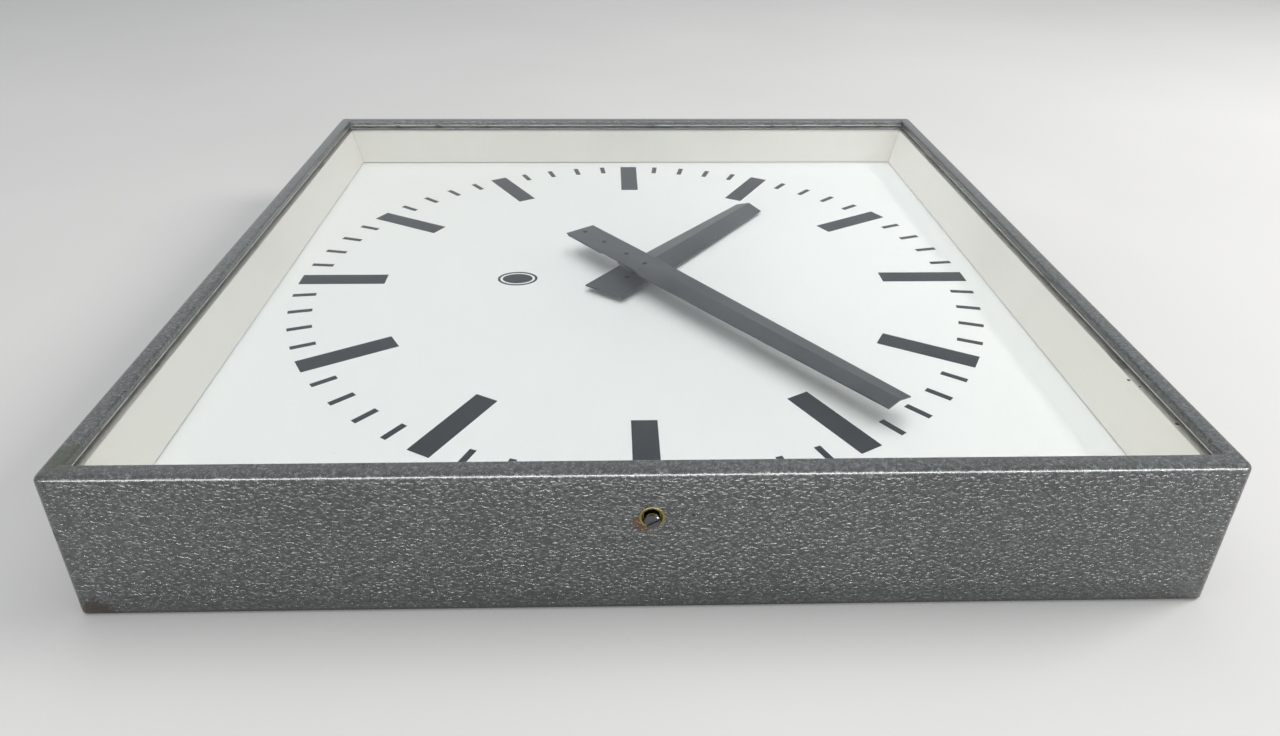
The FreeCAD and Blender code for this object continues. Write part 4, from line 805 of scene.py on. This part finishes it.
def all_materials():
    """A finish for each material slot of the record, and two for parts that differ from their slot."""
    return {
        "hammer_paint": hammertone(),
        "rear_paint": satin_paint("rear_enamel", (0.16, 0.17, 0.17), (0.07, 0.06, 0.05),
                                  rough=0.42, dirt_share=0.5),
        "dial_paint": dial_white(),
        "dial_print": dark_print(),
        "reveal_paint": satin_paint("reveal_cream", (0.93, 0.91, 0.845), (0.74, 0.66, 0.54),
                                    rough=0.33, dirt_share=0.15),
        "hand_paint": hand_enamel(),
        "clear_glass": pane_front(),
        "felt": felt_strip(),
        "zinc_steel": metal("bright_zinc", (0.66, 0.67, 0.68), rough=0.25, grain=900.0),
        "yellow_zinc": metal("yellow_chromate", (0.27, 0.22, 0.085), dull=(0.05, 0.03, 0.01)),
        "arbor_steel": metal("ground_steel", (0.58, 0.59, 0.60), rough=0.22, brush=(1.0, 1.0, 12.0)),
        "wheel_brass": metal("wheel_brass", (0.78, 0.58, 0.25), rough=0.28, dull=(0.52, 0.36, 0.14)),
        "plate_steel": metal("brushed_plate", (0.72, 0.72, 0.73), rough=0.32, brush=(1.0, 30.0, 1.0),
                             grain=300.0),
        "lock_steel": metal("dark_lock_steel", (0.115, 0.115, 0.12), rough=0.12, grain=1400.0),
        "blackened": metal("blackened_steel", (0.05, 0.052, 0.055), rough=0.42),
        "magnet": metal("magnet_grey", (0.20, 0.20, 0.21), rough=0.45, grain=1200.0),
        "core_iron": striped("laminated_iron", (0.26, 0.28, 0.32), (0.06, 0.06, 0.07),
                             pitch=0.6 * MM, axis="Z"),
        "copper_wire": striped("enamelled_turns", (0.62, 0.24, 0.09), (0.16, 0.05, 0.02),
                               pitch=0.5 * MM, axis="Y", metallic=0.7, rough=0.3),
        "bobbin_plastic": plastic("ivory_nylon", (0.68, 0.64, 0.50), rough=0.4),
        "terminal_plastic": plastic("dark_phenolic", (0.035, 0.022, 0.018), rough=0.28),
        "wire_sleeve": plastic("red_sleeve", (0.42, 0.05, 0.04), rough=0.45),
        "black_rubber": plastic("black_rubber", (0.03, 0.03, 0.03), rough=0.6),
    }


def dress(materials):
    """Give every CAD node the finish of its slot, apart from three that are darker."""
    for entry in frame["record"]["subparts"]:
        piece = frame["nodes"][entry["node"]]
        piece.data.materials.clear()
        piece.data.materials.append(materials[entry["material_slot"]])
    for name, finish in (("hour_pipe", "blackened"), ("cannon_pinion", "blackened"),
                         ("lock_screw", "lock_steel")):
        frame["nodes"][name].data.materials[0] = materials[finish]


# ---------------------------------------------------------------- floor, light and camera

WHITE = (1.0, 1.0, 1.0)
WARM_WHITE = (1.0, 0.985, 0.96)
ROOM_COLOR = (0.93, 0.96, 1.0, 1.0)
ROOM_STRENGTH = 0.74
LAMP_TARGET = (0, 0, 0.04)

CAMERA_PLACE = (-0.0177, -0.5493, 0.3099)
CAMERA_PITCH = math.radians(-28.41)
CAMERA_YAW = math.radians(-1.66)
CAMERA_ROLL = math.radians(0.471)
CAMERA_LENS = 26.0
CAMERA_SENSOR = 36.0
CAMERA_SHIFT = (0.0061, -0.0413)
CAMERA_NEAR = 0.02


def make_floor():
    """A wide plain floor just under the clock."""
    half_width = 30.0
    gap = 0.2 * MM
    work = bmesh.new()
    bmesh.ops.create_grid(work, x_segments=8, y_segments=8, size=half_width)
    floor = mesh_object("floor", mesh_from("floor", work), (pale_floor(),))
    floor.location.z = -gap


def soft_light(name, place, size, power, color=WHITE):
    """A rectangular lamp that faces the clock."""
    lamp = bpy.data.lights.new(name, "AREA")
    lamp.shape = "RECTANGLE"
    lamp.size, lamp.size_y = size
    lamp.energy = power
    lamp.color = color
    item = bpy.data.objects.new(name, lamp)
    bpy.context.scene.collection.objects.link(item)
    item.location = place
    item.rotation_mode = "QUATERNION"
    item.rotation_quaternion = (Vector(LAMP_TARGET) - Vector(place)).to_track_quat("-Z", "Y")
    return item


def make_edge_light():
    """A long lamp that shows only in reflections, and only in the cover, the ferrule and the lock screw."""
    strip = soft_light("strip", (0.4, -2.0, 0.72), size=(5.0, 0.42), power=125.0)
    strip.visible_diffuse = False
    edge_lit = bpy.data.collections.new("edge_lit")
    for piece in (bpy.data.objects["cover_shell"], bpy.data.objects["ferrule_ring"],
                  frame["nodes"]["lock_screw"]):
        edge_lit.objects.link(piece)
    strip.light_linking.receiver_collection = edge_lit


def make_lights():
    """A window at the right, soft light from the ceiling and the near side, and a pale room."""
    for lamp in (
        soft_light("window", (1.6, 0.1, 1.25), size=(0.7, 0.7), power=37.0, color=WARM_WHITE),
        soft_light("ceiling", (0.0, 0.3, 2.1), size=(2.6, 2.6), power=27.0),
        soft_light("fill", (0.1, -1.7, 1.0), size=(2.0, 0.6), power=26.0),
    ):
        lamp.visible_glossy = False
    make_edge_light()
    world = bpy.data.worlds.new("soft_room")
    world.use_nodes = True
    background = world.node_tree.nodes["Background"]
    background.inputs["Color"].default_value = ROOM_COLOR
    background.inputs["Strength"].default_value = ROOM_STRENGTH
    bpy.context.scene.world = world


def make_camera():
    """The camera at the photograph's viewing angle, turned by yaw, pitch and roll."""
    data = bpy.data.cameras.new("camera")
    camera = bpy.data.objects.new("camera", data)
    bpy.context.scene.collection.objects.link(camera)
    data.sensor_width = CAMERA_SENSOR
    data.lens = CAMERA_LENS
    data.shift_x, data.shift_y = CAMERA_SHIFT
    data.clip_start = CAMERA_NEAR
    forward = Vector((-math.sin(CAMERA_YAW) * math.cos(CAMERA_PITCH),
                      math.cos(CAMERA_YAW) * math.cos(CAMERA_PITCH), math.sin(CAMERA_PITCH)))
    level = Vector((math.cos(CAMERA_YAW), math.sin(CAMERA_YAW), 0))
    up = level.cross(forward)
    right = level * math.cos(CAMERA_ROLL) + up * math.sin(CAMERA_ROLL)
    top = up * math.cos(CAMERA_ROLL) - level * math.sin(CAMERA_ROLL)
    turn = Matrix((right, top, -forward)).transposed().to_4x4()
    camera.matrix_world = Matrix.Translation(CAMERA_PLACE) @ turn
    bpy.context.scene.camera = camera


def main():
    """Dress the CAD parts, add the detailed pieces, and set the floor, the light and the camera."""
    materials = all_materials()
    dress(materials)
    add_cover(materials["hammer_paint"])
    add_glass(materials["clear_glass"], pane_back())
    add_ferrule(materials["yellow_zinc"])
    add_scratches(bare_edge())
    make_hand("minute_hand", "minute_hand_arbor", materials["hand_paint"])
    make_hand("hour_hand", "hour_hand_pipe", materials["hand_paint"])
    # The rivet heads get painted shade in place of the shadow in their grooves.
    shaded_rivet = rivet_painted_shade()
    make_rivets("hub_rivets", shaded_rivet, "minute_hand_arbor")
    make_rivets("counterweight_rivets", shaded_rivet, "minute_hand_arbor")
    make_rivets("hour_hand_rivets", shaded_rivet, "hour_hand_pipe")
    make_floor()
    make_lights()
    make_camera()


main()
bpy.context.scene.view_settings.view_transform = "Standard"
